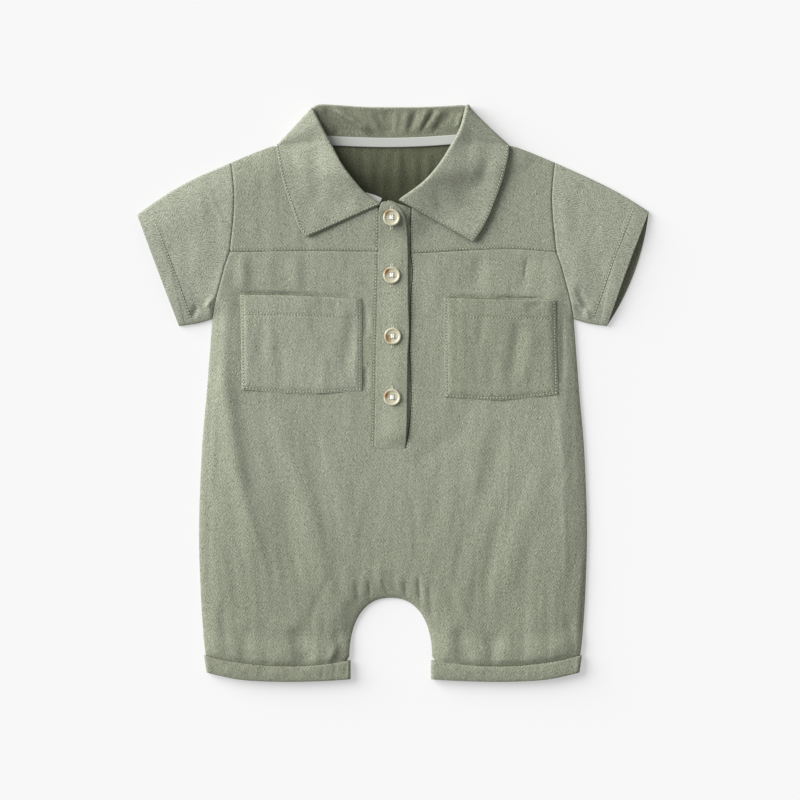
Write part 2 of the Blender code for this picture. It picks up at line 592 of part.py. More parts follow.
def make_placket(surface):
    left = table_line(PLACKET_SEAM[LEFT])
    upper = table_line([STRIP_TOP[-1], STRIP_YOKE_CORNER])
    right, top = table_line(STRIP_RIGHT, STRIP_STEP), table_line(STRIP_TOP, STRIP_STEP)
    left[0] = upper[-1]
    strip = closed_loop(left, np.vstack([left[-1], right[0]]), right, top, upper)
    panel("placket_strip", inset(strip, SEAM), strip_under, surface, STRIP_PITCH)
    seam = table_line(PLACKET_SEAM[RIGHT])
    seam = seam[seam[:, 1] > UNDERLAP_BOTTOM]
    yoke = table_line(PLACKET_YOKE_SEAM[RIGHT][1:])
    top = np.array(UNDERLAP_TOP, float) * MM
    foot = np.array([(seam[-1][0], UNDERLAP_BOTTOM), (UNDERLAP_LEFT, UNDERLAP_BOTTOM)])
    left = np.array([foot[1], (UNDERLAP_LEFT, UNDERLAP_SHOULDER), top[0]])
    edges = [top, np.vstack([top[-1], yoke[0]]), yoke, seam, np.vstack([seam[-1], foot[0]]), foot]
    loop = closed_loop(*edges, spline(left[:2]), left[1:])
    panel("placket_underlap", inset(loop, SEAM), front_under, surface, STRIP_PITCH)


def make_pocket(side, name, surface):
    corners = np.array(POCKETS[side], float) * MM
    mouth, base = spline(corners[:3]), spline(corners[3:])
    loop = closed_loop(mouth, spline(corners[2:4]), base, spline(corners[[5, 0]]))
    panel(name, loop, pocket_under, surface, POCKET_PITCH)


def make_tapes(surface):
    def band(line, width):
        line = table_line(line, TAPE_STEP)
        along = np.gradient(line, axis=0)
        across = np.stack([-along[:, 1], along[:, 0]], 1) / np.linalg.norm(along, axis=1)[:, None]
        low, high = line - across * width / 2, line + across * width / 2
        return closed_loop(low, np.vstack([low[-1], high[-1]]), high[::-1], np.vstack([high[0], low[0]]))

    def on_the_back(x, y):
        return np.full_like(x, 2 * LAYER)

    def below_the_front(x, y):
        return front_under(x, y) - LAYER - SEAM

    panel("neck_tape_back", band(TAPE_BACK, TAPE_WIDTH), on_the_back, surface, TAPE_PITCH)
    panel("neck_tape_front", band(TAPE_FRONT, TAPE_FRONT_WIDTH), below_the_front, surface, TAPE_PITCH)


def collar_stations():
    """Sections round the neck from the left front to the right front, each with its turn.

    The turn is 0 on the front, half a circle on the back, and between them at the side creases."""
    turns = np.linspace(0, math.pi, CREASE_TURNS + 1)
    stations = [(row, 0.0, LEFT) for row in COLLAR_LEFT]
    stations += [(COLLAR_CREASE[LEFT], turn, LEFT) for turn in turns]
    stations += [(row, math.pi, LEFT) for row in COLLAR_BACK]
    stations += [(COLLAR_CREASE[RIGHT], turn, RIGHT) for turn in turns[::-1]]
    stations += [(row, 0.0, RIGHT) for row in COLLAR_RIGHT[::-1]]
    return stations


def swung(plan, top, low, turn, side, along):
    """Points of a strip folded about a side crease: on the front at turn 0, below at half a circle."""
    outward = np.array([along[1], -along[0]]) * -side
    radius, middle = (top - low) / 2, (top + low) / 2
    moved = plan + outward * (radius * math.sin(turn))[:, None]
    return np.column_stack([moved, middle + radius * math.cos(turn)])


def collar_section(row, turn, side):
    """Middle line of the collar's cloth at one station: fall, fold and stand."""
    at = dict(zip(SECTION_COLUMNS, np.array(row, float) * MM))
    fold, edge, seam = (np.array([at[key + "_x"], at[key + "_y"]]) for key in ("fold", "edge", "seam"))
    out, down = (v / np.linalg.norm(v) for v in (edge - fold, seam - fold))
    bend = (LAYER + CLOTH) / 2
    share = np.linspace(1, 0, FALL_STEPS + 1)
    bow = np.array([out[1], -out[0]]) * side * at["bow"]
    start = fold + out * bend
    plan = start + (edge - start) * share[:, None] + bow * (4 * share * (1 - share))[:, None]
    x, y = plan.T
    half = CLOTH / 2
    fall = swung(plan, leaf_under(x, y, share) + half, np.full_like(x, half), turn, side, out)
    share = np.linspace(0, 1, STAND_STEPS + 1)[:, None]
    start = fold + down * bend
    plan = start + (seam - start) * share
    x, y = plan.T
    crumple = folds(x, y, STAND_FOLDS) if turn == math.pi else np.zeros_like(x)
    stand = swung(plan, front_under(x, y) + half, LAYER + half + crumple, turn, side, down)
    centre, arm = (fall[-1] + stand[0]) / 2, (fall[-1] - stand[0]) / 2
    tip = np.append(-(out + down) / np.linalg.norm(out + down), 0) * np.linalg.norm(arm)
    angles = np.linspace(0, math.pi, BEND_STEPS + 1)[1:-1]
    return np.vstack([fall, [centre + arm * math.cos(a) + tip * math.sin(a) for a in angles], stand])


def make_collar(surface):
    middle = np.array([collar_section(*station) for station in collar_stations()])
    normal = np.cross(np.gradient(middle, axis=0), np.gradient(middle, axis=1))
    normal /= np.linalg.norm(normal, axis=2)[:, :, None]
    bm = bmesh.new()
    outer, inner = (skin(bm, middle + normal * offset, False) for offset in (CLOTH / 2, -CLOTH / 2))
    for k in (0, -1):
        bridge(bm, outer[k], inner[k], False)
        bridge(bm, [ring[k] for ring in outer], [ring[k] for ring in inner], False)
    keep("collar", mesh_of("collar", bm), surface)


def make_button(number, place, surface):
    """A four-hole button: a turned disc with a raised rim and a dished face."""
    bm = bmesh.new()
    r, t = BUTTON_RADIUS, BUTTON_THICK
    dish = r - BUTTON_RIM
    profile = [(0, t - BUTTON_DISH), (dish - 0.4 * MM, t - BUTTON_DISH), (dish, t - 0.1 * MM)]
    profile += [(r - 0.7 * MM, t), (r, t - 0.7 * MM), (r - 0.3 * MM, 0.5 * MM), (r - 1.4 * MM, 0), (0, 0)]
    points = [bm.verts.new((x, 0, z)) for x, z in profile]
    edges = [bm.edges.new(pair) for pair in zip(points, points[1:])]
    bmesh.ops.spin(bm, geom=points + edges, cent=(0, 0, 0), axis=(0, 0, 1), angle=2 * math.pi,
                   steps=BUTTON_SIDES, use_merge=True)
    bmesh.ops.remove_doubles(bm, verts=bm.verts, dist=1e-6)
    button = keep(f"button_{number}", mesh_of(f"button_{number}", bm), surface)
    place = np.array(place, float) * MM
    seat = max(strip_under(np.array([place[0] + dx]), np.array([place[1] + dy]))[0]
               for dx in (-r, 0, r) for dy in (-r, 0, r))
    button.location = (*place, seat + CLOTH + SEAM)
    holes = bmesh.new()
    half = BUTTON_HOLE_PITCH / 2
    for x, y in ((-half, -half), (half, -half), (half, half), (-half, half)):
        made = bmesh.ops.create_cone(
            holes, cap_ends=True, segments=HOLE_SIDES, radius1=BUTTON_HOLE_RADIUS,
            radius2=BUTTON_HOLE_RADIUS, depth=4 * t,
        )
        bmesh.ops.translate(holes, verts=made["verts"], vec=(x, y, 0))
    drill = bpy.data.objects.new(f"holes_{number}", mesh_of("holes", holes))
    CUTTERS.objects.link(drill)
    drill.parent, drill.location = ROMPER, button.location
    drill.hide_render, drill.display_type = True, "WIRE"
    cut = button.modifiers.new("holes", "BOOLEAN")
    cut.operation, cut.object = "DIFFERENCE", drill


def collection(name):
    made = bpy.data.collections.new(name)
    bpy.context.scene.collection.children.link(made)
    return made


for leftover in list(bpy.data.objects):
    bpy.data.objects.remove(leftover)
GARMENT, CUTTERS = collection("romper"), collection("cutters")
ROMPER = bpy.data.objects.new("romper", None)
GARMENT.objects.link(ROMPER)

cotton = material("sage_cotton", SAGE, 0.9)
twill_tape = material("white_tape", TAPE_WHITE, 0.85)
horn = material("horn", HORN, 0.35)

make_back(cotton)
make_front(cotton)
for number, place in enumerate(BUTTON_PLACES, 1):
    make_button(number, place, horn)
for side, word in ((LEFT, "left"), (RIGHT, "right")):
    make_yoke(side, f"yoke_{word}", cotton)
    make_sleeve(side, f"sleeve_{word}", cotton)
    make_cuff(side, f"cuff_{word}", cotton)
    make_pocket(side, f"pocket_{word}", cotton)
make_placket(cotton)
make_collar(cotton)
make_tapes(twill_tape)
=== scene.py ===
"""Looks of a baby romper with a shirt collar, laid on its back on a pale table.

The tables repeat the part's own sizes, in millimetres, and the functions work in metres. Left and right
are as seen from above. Every cloth piece is a thin shell on the form of its solid, with rounded edges,
creases placed one by one and a fine crinkle. Stitches are laid along the sewn edges by a node tree.
"""

import math

import bmesh
import bpy
import numpy as np
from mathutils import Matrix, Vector
from mathutils.geometry import delaunay_2d_cdt


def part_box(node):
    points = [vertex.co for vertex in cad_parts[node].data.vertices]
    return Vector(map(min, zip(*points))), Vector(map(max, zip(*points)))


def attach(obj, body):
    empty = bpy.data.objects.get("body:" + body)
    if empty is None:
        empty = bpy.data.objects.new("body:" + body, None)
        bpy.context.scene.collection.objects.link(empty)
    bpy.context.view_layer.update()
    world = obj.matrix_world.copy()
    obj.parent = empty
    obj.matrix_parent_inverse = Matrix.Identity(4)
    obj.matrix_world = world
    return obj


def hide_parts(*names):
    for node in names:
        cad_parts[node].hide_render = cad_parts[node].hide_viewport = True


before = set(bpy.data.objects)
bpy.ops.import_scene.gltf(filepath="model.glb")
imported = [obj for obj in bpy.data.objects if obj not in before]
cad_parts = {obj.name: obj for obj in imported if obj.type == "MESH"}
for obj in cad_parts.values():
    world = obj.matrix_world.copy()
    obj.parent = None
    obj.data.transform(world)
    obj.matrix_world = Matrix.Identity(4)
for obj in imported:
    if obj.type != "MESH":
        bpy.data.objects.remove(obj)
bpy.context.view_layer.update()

MM = 0.001
LEFT, RIGHT = -1, 1
SIDES = ((LEFT, "left"), (RIGHT, "right"))
CORNERS = ((-1, -1), (1, -1), (1, 1), (-1, 1))  # of a square, in turn

# ---------------------------------------------------------------- cloth and layers
CLOTH = 1.1 * MM  # what a wall of cloth takes up in the part
SEAM = 0.3 * MM
LAYER = CLOTH + SEAM
REST = 0.6 * MM
SHELL = 0.9 * MM  # thickness of the cloth shown
FREE_ROUND = 0.55 * MM  # radius to which a free edge of cloth is rounded
SEWN_ROUND, SEWN_TUCK = 0.3 * MM, 0.05 * MM  # the same at a seam, and how far a piece stops short of it
PITCH = 1.8 * MM  # spacing of the points of a panel
SLEEVE_PITCH = 1.3 * MM
EDGE_STEP = 1.8 * MM
EDGE_RINGS = [depth * MM for depth in (0.16, 0.4, 0.8, 1.4, 2.1, 3.0)]
LINE_OFFSETS = [offset * MM for offset in (-1.3, -0.6, 0, 0.6, 1.3)]
TIP_STEPS = np.array([0.12, 0.35, 0.7, 1.2, 1.8, 2.6, 3.6]) * MM
HEM_STEPS, HEM_CLEAR = np.array([-1.4, -0.7, 0, 0.7, 1.4]) * MM, 2.2 * MM  # rings beside a sleeve's hem row
OPENING_STEPS = np.array([0.3, 0.7, 1.2]) * MM
LEAF_STEPS = np.array([0.3, 0.8, 1.5, 2.2, 3.0]) * MM
FINE_CREASE = 1.5 * MM  # a crease narrower than this gets rows of points of its own

# ---------------------------------------------------------------- fullness of the laid garment
LOFT, LOFT_REACH = 3.2 * MM, 24 * MM
FOLD_FULLNESS, CREASE_FULLNESS, STAND_FULLNESS = 1.0, 1.4, 1.7  # how many times the heights of the tables
FOLD_FADE, CRINKLE_FADE = 14 * MM, 10 * MM  # how near a closed edge the folds and the crinkle die out
CUFF_PRESS, CUFF_PRESS_REACH = 0.4, 5 * MM  # the share of the fullness left at a cuff, and how far it grows
NECK_RISE, NECK_REACH, NECK_CLEAR = 3.6 * MM, 30 * MM, 4 * MM
NECK_FLAT_Y, NECK_SLOPE = 186 * MM, 26 * MM  # from here up the shoulders lie flat, and the way down from it
LEAF_LIFT = {LEFT: 0.9 * MM, RIGHT: 2.2 * MM}  # how far a leaf's outer edge springs off the yoke
LEAF_ROLL = {LEFT: 4.2 * MM, RIGHT: 4.2 * MM}  # how far the leaf stands up along the fold
LEAF_TIP = {LEFT: 0.6 * MM, RIGHT: 1.3 * MM}  # how far the cloth bulges past the fold line
LEAF_ROLL_Y = 138 * MM  # the leaf lies flat below it
BACK_TURN, BACK_TURN_RAMP = 2.6, 0.5  # the turn of a section from which the stand has its folds
STAND_LOFT = 0.8 * MM
RAMP, LEVEL = 14 * MM, 9 * MM
SIDE_ROLL = 3.4 * MM  # width over which the front bends down to the back at a closed edge
BACK_CURL = 2.2 * MM  # width over which the back bends up to it
FRONT_EDGE_Z, BACK_EDGE_Z = 1.5 * MM, 1.0 * MM  # heights at which the two meet there
TUBE_ROUND = 2.6 * MM  # largest radius of a flattened tube's two sides
HEM_RISE, HEM_RISE_WIDTH = 0.22 * MM, 1.2 * MM  # how much a sleeve's hem stands up
OPENING_PRESS, OPENING_WIDTH = 0.3 * MM, 3 * MM  # how much flatter a sleeve is along its opening
CUFF_BULGE = 0.7 * MM

# ---------------------------------------------------------------- the cloth's own unevenness
RIPPLE_COLUMNS = ("height", "wide", "tall", "seed")  # sizes in mm
CRINKLE_FAN = 0.28  # how much closer together the cloth's waves are at the crotch
WAVES = [(0.26, 15, 70, 3), (0.17, 6.5, 44, 5), (0.09, 3.4, 17, 7)]
CRUMPLE, CRUMPLE_SLANT = [(0.06, 3, 7, 9)], 0.7
BACK_CRUMPLE = [(0.25, 4, 26, 21)]
CUFF_CRUMPLE = [(0.22, 6, 5, 31), (0.14, 2.8, 9, 33)]

# ---------------------------------------------------------------- outlines, (x, y) in mm
SHOULDER = [(59.4, 188.2), (87.8, 185.4), (99, 182.0), (110.3, 177.6), (121.5, 172.8)]
ARMHOLE_YOKE = [(121.5, 172.8), (119.8, 160), (119.0, 146), (119.8, 130), (121.2, 117), (122.5, 105.8)]
ARMHOLE_BODY = [(122.5, 105.8), (126, 95.5), (129.3, 83), (133, 69), (135.5, 55.5)]
ARMHOLE = ARMHOLE_YOKE + ARMHOLE_BODY[1:]
SIDE = [(135.5, 55.5), (139.6, 2), (143.4, -43), (145.5, -100), (144.3, -148), (142.4, -178)]
SIDE += [(141.2, -190), (139.8, -197.6), (136.4, -201.5), (135.4, -204)]
HEM = [(135.4, -204), (123, -207), (98.5, -210), (75, -211), (52, -209.8)]
SLEEVE_TOP = {
    LEFT: [(121.5, 172.8), (150.8, 160), (172, 147.8), (191.5, 134.2)],
    RIGHT: [(121.5, 172.8), (150.8, 159.6), (172, 148.6), (191.5, 136.4)],
}
SLEEVE_UNDER = [(135.5, 55.5), (147, 52.2), (160, 50.4)]
CUFF_TOP = [(141.6, -196.5), (123, -201), (98.5, -204.2), (75, -205), (52, -203.6)]
CUFF_BOTTOM = [(139.8, -208.8), (114.5, -214), (83, -215.6), (52, -215)]
CUFF_INNER_TOP_Y, CUFF_INNER_BOTTOM_Y, HEM_INNER_Y = -200.3 * MM, -213.7 * MM, -207 * MM
CUFF_OVERHANG = 1.0 * MM
CUFF_TUCK = 3.6 * MM
CROTCH_X, CROTCH_TOP = -1.7 * MM, -153.4 * MM
CROTCH_HALF, CROTCH_DEEP, CROTCH_POWER = 31 * MM, 46.6 * MM, 2.3
CROTCH_FOOT = -202.8 * MM
SLEEVE_GAPE = {LEFT: 0.8 * MM, RIGHT: 6.0 * MM}
SLEEVE_HEM_DIP = 0.6 * MM
SLEEVE_WAY, SLEEVE_GRAIN = (0.92, -0.39), math.radians(64)  # how the right one points, and its grain's turn

NECK_HALF, NECK_BOTTOM = 52 * MM, 128 * MM  # the part of the back that shows through the neck
NECKLINE_BACK = [(0, 186.9), (38, 188.5), (56.4, 189.4), (59.4, 188.2)]
NECKLINE = {
    LEFT: [(-59.4, 188.2), (-58.6, 184), (-55.5, 176), (-48.2, 162.3), (-35.7, 151), (-22.5, 144.2)],
    RIGHT: [(59.4, 188.2), (58, 184), (54.2, 176), (46, 163.3), (35, 152.3), (24, 146)],
}
PLACKET_SEAM = {
    LEFT: [(-10.9, 106.2), (-11.2, 88), (-12.1, 47), (-13.7, -41.3)],
    RIGHT: [(13.2, 104.6), (14.9, 90), (13.2, 68), (12.9, 47), (12.7, 30), (13.8, 8), (13.6, -12), (11, -33),
            (9.6, -41.3)],
}
PLACKET_YOKE_SEAM = {
    LEFT: [(-10.8, 140.3), (-10.3, 130), (-10.9, 106.2)],
    RIGHT: [(14, 138), (13.6, 125), (13.2, 104.6)],
}
YOKE_SEAM_MIDDLE = {LEFT: (-68, 106.6), RIGHT: (82, 108)}
STRIP_RIGHT = [(9.2, -41.3), (10.2, -20), (10.5, 2), (10.9, 30)]
STRIP_RIGHT += [(11.9, 47), (11.2, 68), (11, 106), (10.3, 122)]
STRIP_TOP = [(10.3, 122), (9.2, 130), (6.6, 136), (2.6, 140.2), (-2.4, 142.6), (-8, 142.6), (-10.3, 137)]
STRIP_YOKE_CORNER = (-10.7, 107)
STRIP_SEWN, STRIP_LAP = 18 * MM, 0.3 * MM  # its rise from its sewn side, and what it takes up over the seam
STRIP_HELD = 12 * MM  # the length of its rise from its sewn foot
STRIP_FREE_Y, STRIP_FREE_RAMP = 132 * MM, 6 * MM  # above this it is free all across
STRIP_GAPE, STRIP_GAPE_WIDTH = 0.9 * MM, 20 * MM  # how far its free edge opens between two buttons
BUTTON_HALF_WAY = 22 * MM  # from a button to the middle between two of them
UNDERLAP_LEFT, UNDERLAP_BOTTOM, UNDERLAP_SHOULDER = -3.2 * MM, -38.5 * MM, 136 * MM
UNDERLAP_SINK, UNDERLAP_SINK_WIDTH = 0.9 * MM, 3.2 * MM  # how far its cloth lies down beside the strip
UNDERLAP_SINK_RAMP, UNDERLAP_DROP = 14 * MM, 0.1 * MM
UNDERLAP_TOP = [(-4.6, 144.6), (0, 143.9), (3.2, 142.3), (13.6, 139)]
POCKETS = {
    # corner to corner: mouth left, mouth middle, mouth right, bottom right, bottom middle, bottom left
    LEFT: [(-114.2, 73.5), (-72, 72.9), (-23.2, 70.5), (-23.1, 1.6), (-68.7, -0.6), (-113.2, 2.6)],
    RIGHT: [(38.3, 71.4), (89.7, 69.8), (122, 69.6), (123.8, -0.9), (83.3, -5.1), (39, -3.2)],
}
POCKET_GAPE, POCKET_HALF = 1.3 * MM, 42 * MM
POCKET_SINK, POCKET_SINK_WIDTH = 0.75 * MM, 5 * MM  # how far its sewn sides are pulled down
POCKET_STAND = 0.15 * MM  # how far it stands off the front
POCKET_CRINKLE, POCKET_CRINKLE_SHIFT = 1.2, 20 * MM  # how strong its crinkle is, and where that is taken from
TAPE_WIDTH = 7.2 * MM
TAPE_BACK = [(-51, 189.4), (-25, 188.2), (0, 187.8), (25, 188.6), (49, 190.3)]
TAPE_FRONT = [(-20.8, 147.2), (-13.1, 144.6), (-9.3, 142.9)]
TAPE_FRONT_WIDTH = 6.5 * MM

# ---------------------------------------------------------------- collar sections, in mm
# The bow is how far the way from the fold to the edge bends sideways.
SECTION_COLUMNS = ("fold_x", "fold_y", "edge_x", "edge_y", "seam_x", "seam_y", "bow")
COLLAR_LEFT = [
    (-8.5, 141.2, -64.6, 116.9, -10.6, 141.0, 0.0),
    (-19.9, 149.3, -69.8, 123.0, -24.2, 144.6, 0.0),
    (-28.0, 158.2, -74.3, 134.5, -35.0, 151.8, 0.0),
    (-37.2, 170.1, -78.8, 147.0, -46.9, 163.0, 0.0),
    (-45.0, 184.5, -83.0, 161.0, -54.0, 177.2, 0.3),
    (-52.5, 198.5, -85.8, 175.0, -57.2, 186.0, 1.0),
]
COLLAR_RIGHT = [
    (4.0, 144.2, 59.8, 113.2, 5.6, 143.6, 0.0),
    (16.0, 152.4, 66.4, 122.4, 21.8, 147.2, 0.0),
    (26.0, 160.7, 72.8, 135.0, 34.0, 153.6, 0.0),
    (35.3, 171.9, 77.6, 147.5, 45.6, 164.4, 0.0),
    (43.1, 184.5, 82.4, 161.0, 53.2, 177.4, 0.2),
    (50.5, 198.5, 85.8, 175.0, 57.0, 186.2, 0.6),
]
COLLAR_CREASE = {
    LEFT: (-60.2, 213.4, -87.4, 184.0, -57.4, 190.6, 0.2),
    RIGHT: (55.2, 215.2, 87.0, 183.8, 57.0, 190.6, 1.0),
}
COLLAR_BACK = [
    (-57.6, 215.8, -84.0, 182.4, -55.0, 190.4, 0.0),
    (-52.0, 216.6, -76.5, 180.6, -49.6, 190.0, 0.0),
    (-40.0, 216.0, -60.0, 178.0, -38.6, 189.2, 0.0),
    (-21.0, 214.8, -31.0, 175.8, -20.0, 188.0, 0.0),
    (0.0, 214.6, 0.0, 175.0, 0.0, 187.6, 0.0),
    (21.0, 214.7, 31.0, 175.8, 20.0, 188.0, 0.0),
    (40.0, 215.4, 60.0, 178.0, 38.6, 189.2, 0.0),
    (51.6, 216.0, 78.0, 181.0, 51.4, 190.0, 0.0),
]
FRONT_STATIONS, BACK_STATIONS, CREASE_STATIONS = 9, 15, 14  # steps between two rows, and round a crease
FALL_STEPS, BEND_STEPS, STAND_STEPS = 40, 10, 20
SIDE_CREASE = {
    LEFT: [(-60, 216.9), (-72.6, 200), (-80.3, 192.4), (-88.1, 186.4)],
    RIGHT: [(56.4, 216.7), (66.8, 205.6), (78.2, 194.6), (88.2, 186.0)],
}

# ---------------------------------------------------------------- creases and gathers, in mm
FOLD_COLUMNS = ("from_x", "from_y", "to_x", "to_y", "width", "height")
FRONT_FOLDS = [
    # left sleeve
    (-141, 160, -158, 118, 11, 0.35), (-139, 118, -149, 72, 8, 0.5), (-124.5, 98, -136, 60, 5, 0.7),
    (-153, 92, -144, 56, 7, -0.8), (-164, 112, -158, 62, 8, 0.4),
    # right sleeve
    (124, 164, 134, 108, 7, 0.6), (131, 118, 148, 70, 8, 0.5), (156, 112, 149, 54, 8, -0.5),
    (160, 134, 164, 80, 8, 0.4), (134, 92, 139, 58, 5, 0.5),
    # chest
    (-113, 106, -111.5, 74, 4.5, 1.2), (-74, 104, -72, 74, 5, 0.8), (-97, 104, -94, 78, 6, 0.5),
    (67, 105, 56, 72, 7, -1.0), (103, 105, 96, 72, 5, -0.8), (121, 104, 123, 62, 6, 0.9),
    (33, 102, 30, 60, 6, 0.4), (-31, 100, -27, 62, 5, 0.45),
    # the long fold from the left armhole to the leg, and the side that rolls over beside it
    (-124, 92, -128, -16, 6.5, 1.7), (-129.5, 24, -114, -76, 7, 1.8), (-119, -40, -101, -136, 7, 1.5),
    # long folds that run from the pockets towards the crotch
    (-88, -4, -64, -88, 9, 1.1), (-69, -64, -46, -164, 8.5, 1.3), (-86, -70, -72, -150, 7, -0.7),
    (-50, -34, -30, -112, 9, 0.5), (57, 0, 46, -44, 8, -0.8), (48, -28, 14, -58, 7, -0.6),
    (42, -34, 30, -112, 7, -0.5), (84, -16, 66, -88, 8, -0.7), (66, -70, 49, -140, 6.5, -0.6),
    (83, -86, 64, -160, 8, -0.9), (99, -70, 84, -158, 10, 0.7), (110, -10, 108, -120, 9, 0.5),
    (128, 40, 131, -110, 7, 0.8), (62, -30, 58, -80, 6, 0.6), (-106, -60, -92, -140, 6, 0.5),
    # puckers that spread from the crotch
    (-35, -124, -31, -160, 4, 0.7), (-22.5, -132, -21.5, -157, 3, 0.4), (-14, -126, -3.5, -155, 3.4, 0.7),
    (4.5, -134, 6, -154, 2.8, 0.4), (14.5, -132, 16, -156, 3, 0.4), (22, -130, 25.5, -170, 3.6, 0.6),
    (36, -128, 34, -164, 4.8, 0.5), (55, -134, 53, -166, 5.5, 0.45), (-47, -176, -35, -150, 4.4, 0.35),
    # hollows that end at the cuffs
    (-128, -150, -122, -206, 6, -1.3), (-111, -172, -108, -207, 5.5, -0.9), (-74, -172, -66, -208, 6.5, -2.2),
    (-43, -176, -38, -207, 5, -1.0), (49, -172, 53, -206, 5.5, -1.1), (76, -176, 72, -207, 5.5, -1.0),
    (132, -164, 136, -203, 4, -0.9), (-41, -188, -49.5, -206, 2.4, 0.9),
    # gathers above the left cuff
    (-134, -150, -131, -205, 6, 0.5), (-125, -150, -121, -206, 5.6, 0.75),
    (-112, -186, -114, -207, 3.4, -0.4), (-108, -160, -106, -207, 6, 0.45), (-93, -188, -93, -208, 4, -0.3),
    (-85, -190, -84, -209, 3, 0.3), (-76, -162, -72, -209, 7.5, 0.75), (-62, -190, -63, -208, 3.6, -0.6),
    (-40, -182, -50, -206, 3, 0.6), (-41, -194, -42, -206, 3.4, -0.45),
    # gathers above the right cuff
    (133, -168, 131.5, -204, 5, 0.55), (121, -186, 120, -206, 4, 0.4), (104.5, -154, 108, -207, 6.5, 0.7),
    (97, -188, 97, -208, 3.4, -0.35), (89, -172, 81, -208, 6, 0.65), (70, -188, 68, -208, 4.4, 0.4),
    (58, -188, 57, -207, 3.6, -0.4), (43, -168, 39, -205, 6, 0.6), (31, -190, 32.5, -203, 3, -0.4),
]
# Finer creases that only the shown cloth has.
CREASES = [
    (-142.5, 162, -123.5, 118, 1.3, 0.4), (-146, 66, -151, 56, 2.4, -1.2), (-138.5, 71, -137, 56, 2.4, 0.9),
    (-133, 74, -142, 62, 1.6, 0.6), (136.5, 164, 156, 149, 1.2, 0.45), (140, 158, 150, 148, 2.2, -0.4),
    (137, 80, 147, 60, 2.4, -0.8), (143, 64, 148, 55, 1.6, 0.7), (136, 66, 144, 57, 1.6, -0.7),
    (101, 104, 98, 84, 0.9, -0.3), (89, -6, 84, -112, 1.2, 0.1), (-118, 75.0, -62, 74.2, 1.1, -0.8),
    (-72, 74.4, -30, 72.4, 1.1, -0.4), (40, 72.8, 78, 71.4, 1.1, -0.5), (70, 71.8, 116, 70.8, 1.1, -0.8),
    (-20.6, 68, -20.4, 40, 1.8, -0.8), (-20.6, 22, -20.8, 1, 1.8, -0.9), (126.4, 66, 127.6, 0, 1.8, -0.7),
    (118, 40, 130, -70, 2.2, 0.3), (136.5, 10, 139, -90, 2.2, 0.35), (127, -60, 130, -150, 1.8, 0.3),
    (-132, 10, -137, -90, 2.4, 0.3), (-138, -60, -138, -150, 1.8, -0.25), (-20, -60, -30, -120, 3, 0.25),
    (14, -70, 20, -130, 3, -0.25), (40, -130, 60, -180, 3, 0.3), (-44, -130, -66, -178, 3, -0.3),
    (-18, -140, -17, -155, 1.3, -0.5), (-9, -138, -3, -152, 1.4, -0.5), (9, -140, 10, -155, 1.3, -0.4),
    (19, -136, 20.5, -158, 1.4, -0.5), (27, -142, 29, -172, 1.6, -0.5), (-28, -140, -25.5, -158, 1.6, -0.6),
    # the right leg's side seam, rolled to the front
    (146.2, -112, 139.6, -196, 0.9, -0.7), (143.4, -112, 136.8, -196, 1.7, 0.5),
]
BACK_FOLDS = [
    (-38, 186, -34, 150, 3.4, 0.9), (-28, 186, -25, 138, 3.2, 0.7), (-17, 186, -17, 144, 3.4, 1.0),
    (-6, 186, -8, 134, 3.2, 0.7), (5, 186, 4, 144, 3.4, 0.9), (16, 186, 18, 138, 3.2, 0.8),
    (27, 186, 26, 146, 3.4, 1.0), (37, 186, 35, 156, 3.2, 0.7),
]
STAND_FOLDS = [
    (-54, 213, -22, 194, 2.6, -1.8), (-47, 214.5, -13, 193.5, 2.4, 1.7), (-58, 208, -42, 194, 2.6, 1.3),
    (-30, 214, -6, 193, 3.0, 0.45), (-4, 213.5, -2, 193, 3.6, -0.7), (12, 213, 8, 193, 2.8, 0.6),
    (18, 213.5, 11, 195, 2.4, -0.7), (27, 214, 17, 194.5, 2.0, 1.0), (32, 214, 21, 195, 1.8, -0.8),
    (38, 213.5, 21, 195, 2.0, 0.9), (46, 213, 30, 195, 2.6, -0.5), (52, 211, 48, 198, 2.0, 0.9),
]
STAND_CREASES = [
    (-42, 213, -20, 199, 1.4, -0.4), (-52, 204, -38, 195, 1.4, -0.5), (-20, 212, -8, 196, 1.6, 0.35),
    (-34, 208, -20, 196, 1.3, 0.35), (22, 213, 14, 194, 1.4, 0.4), (34, 206, 26, 195, 1.3, 0.45),
    (42, 209, 30, 196, 1.4, -0.45), (3, 212, 1, 194, 1.6, 0.3), (-12, 212, -8, 196, 1.5, -0.35),
]
LEAF_CREASES = [
    (-71, 188, -62, 142, 5, 0.8), (-58, 186, -55, 158, 4.5, -0.7), (-47, 160, -52, 138, 4, 0.5),
    (-40, 152, -34, 136, 3.2, -0.45), (-30, 146, -24, 134, 2.6, 0.5), (-60, 140, -52, 126, 3.5, 0.3),
    (64, 196, 60, 158, 6, 0.8), (72, 178, 64, 150, 4.5, -0.7), (40, 160, 50, 134, 5, 0.5),
    (58, 146, 70, 132, 4.5, -0.5), (30, 150, 40, 136, 3, -0.4), (74, 176, 78, 150, 4, 0.4),
    (24, 146, 32, 138, 2.4, 0.4), (36, 148, 60, 144, 3, 0.35),
]
CUFF_CREASES = {
    LEFT: [(-52.4, -202, -52.8, -216, 0.9, -0.5), (-43.4, -202, -44.4, -216, 1.0, -0.6),
           (-34.6, -201, -35.6, -215, 0.9, -0.5), (-100, -203, -97, -213, 3, -0.3)],
    RIGHT: [(92, -204, 90, -214, 2.6, -0.25), (64, -204, 66, -214, 3, 0.25)],
}
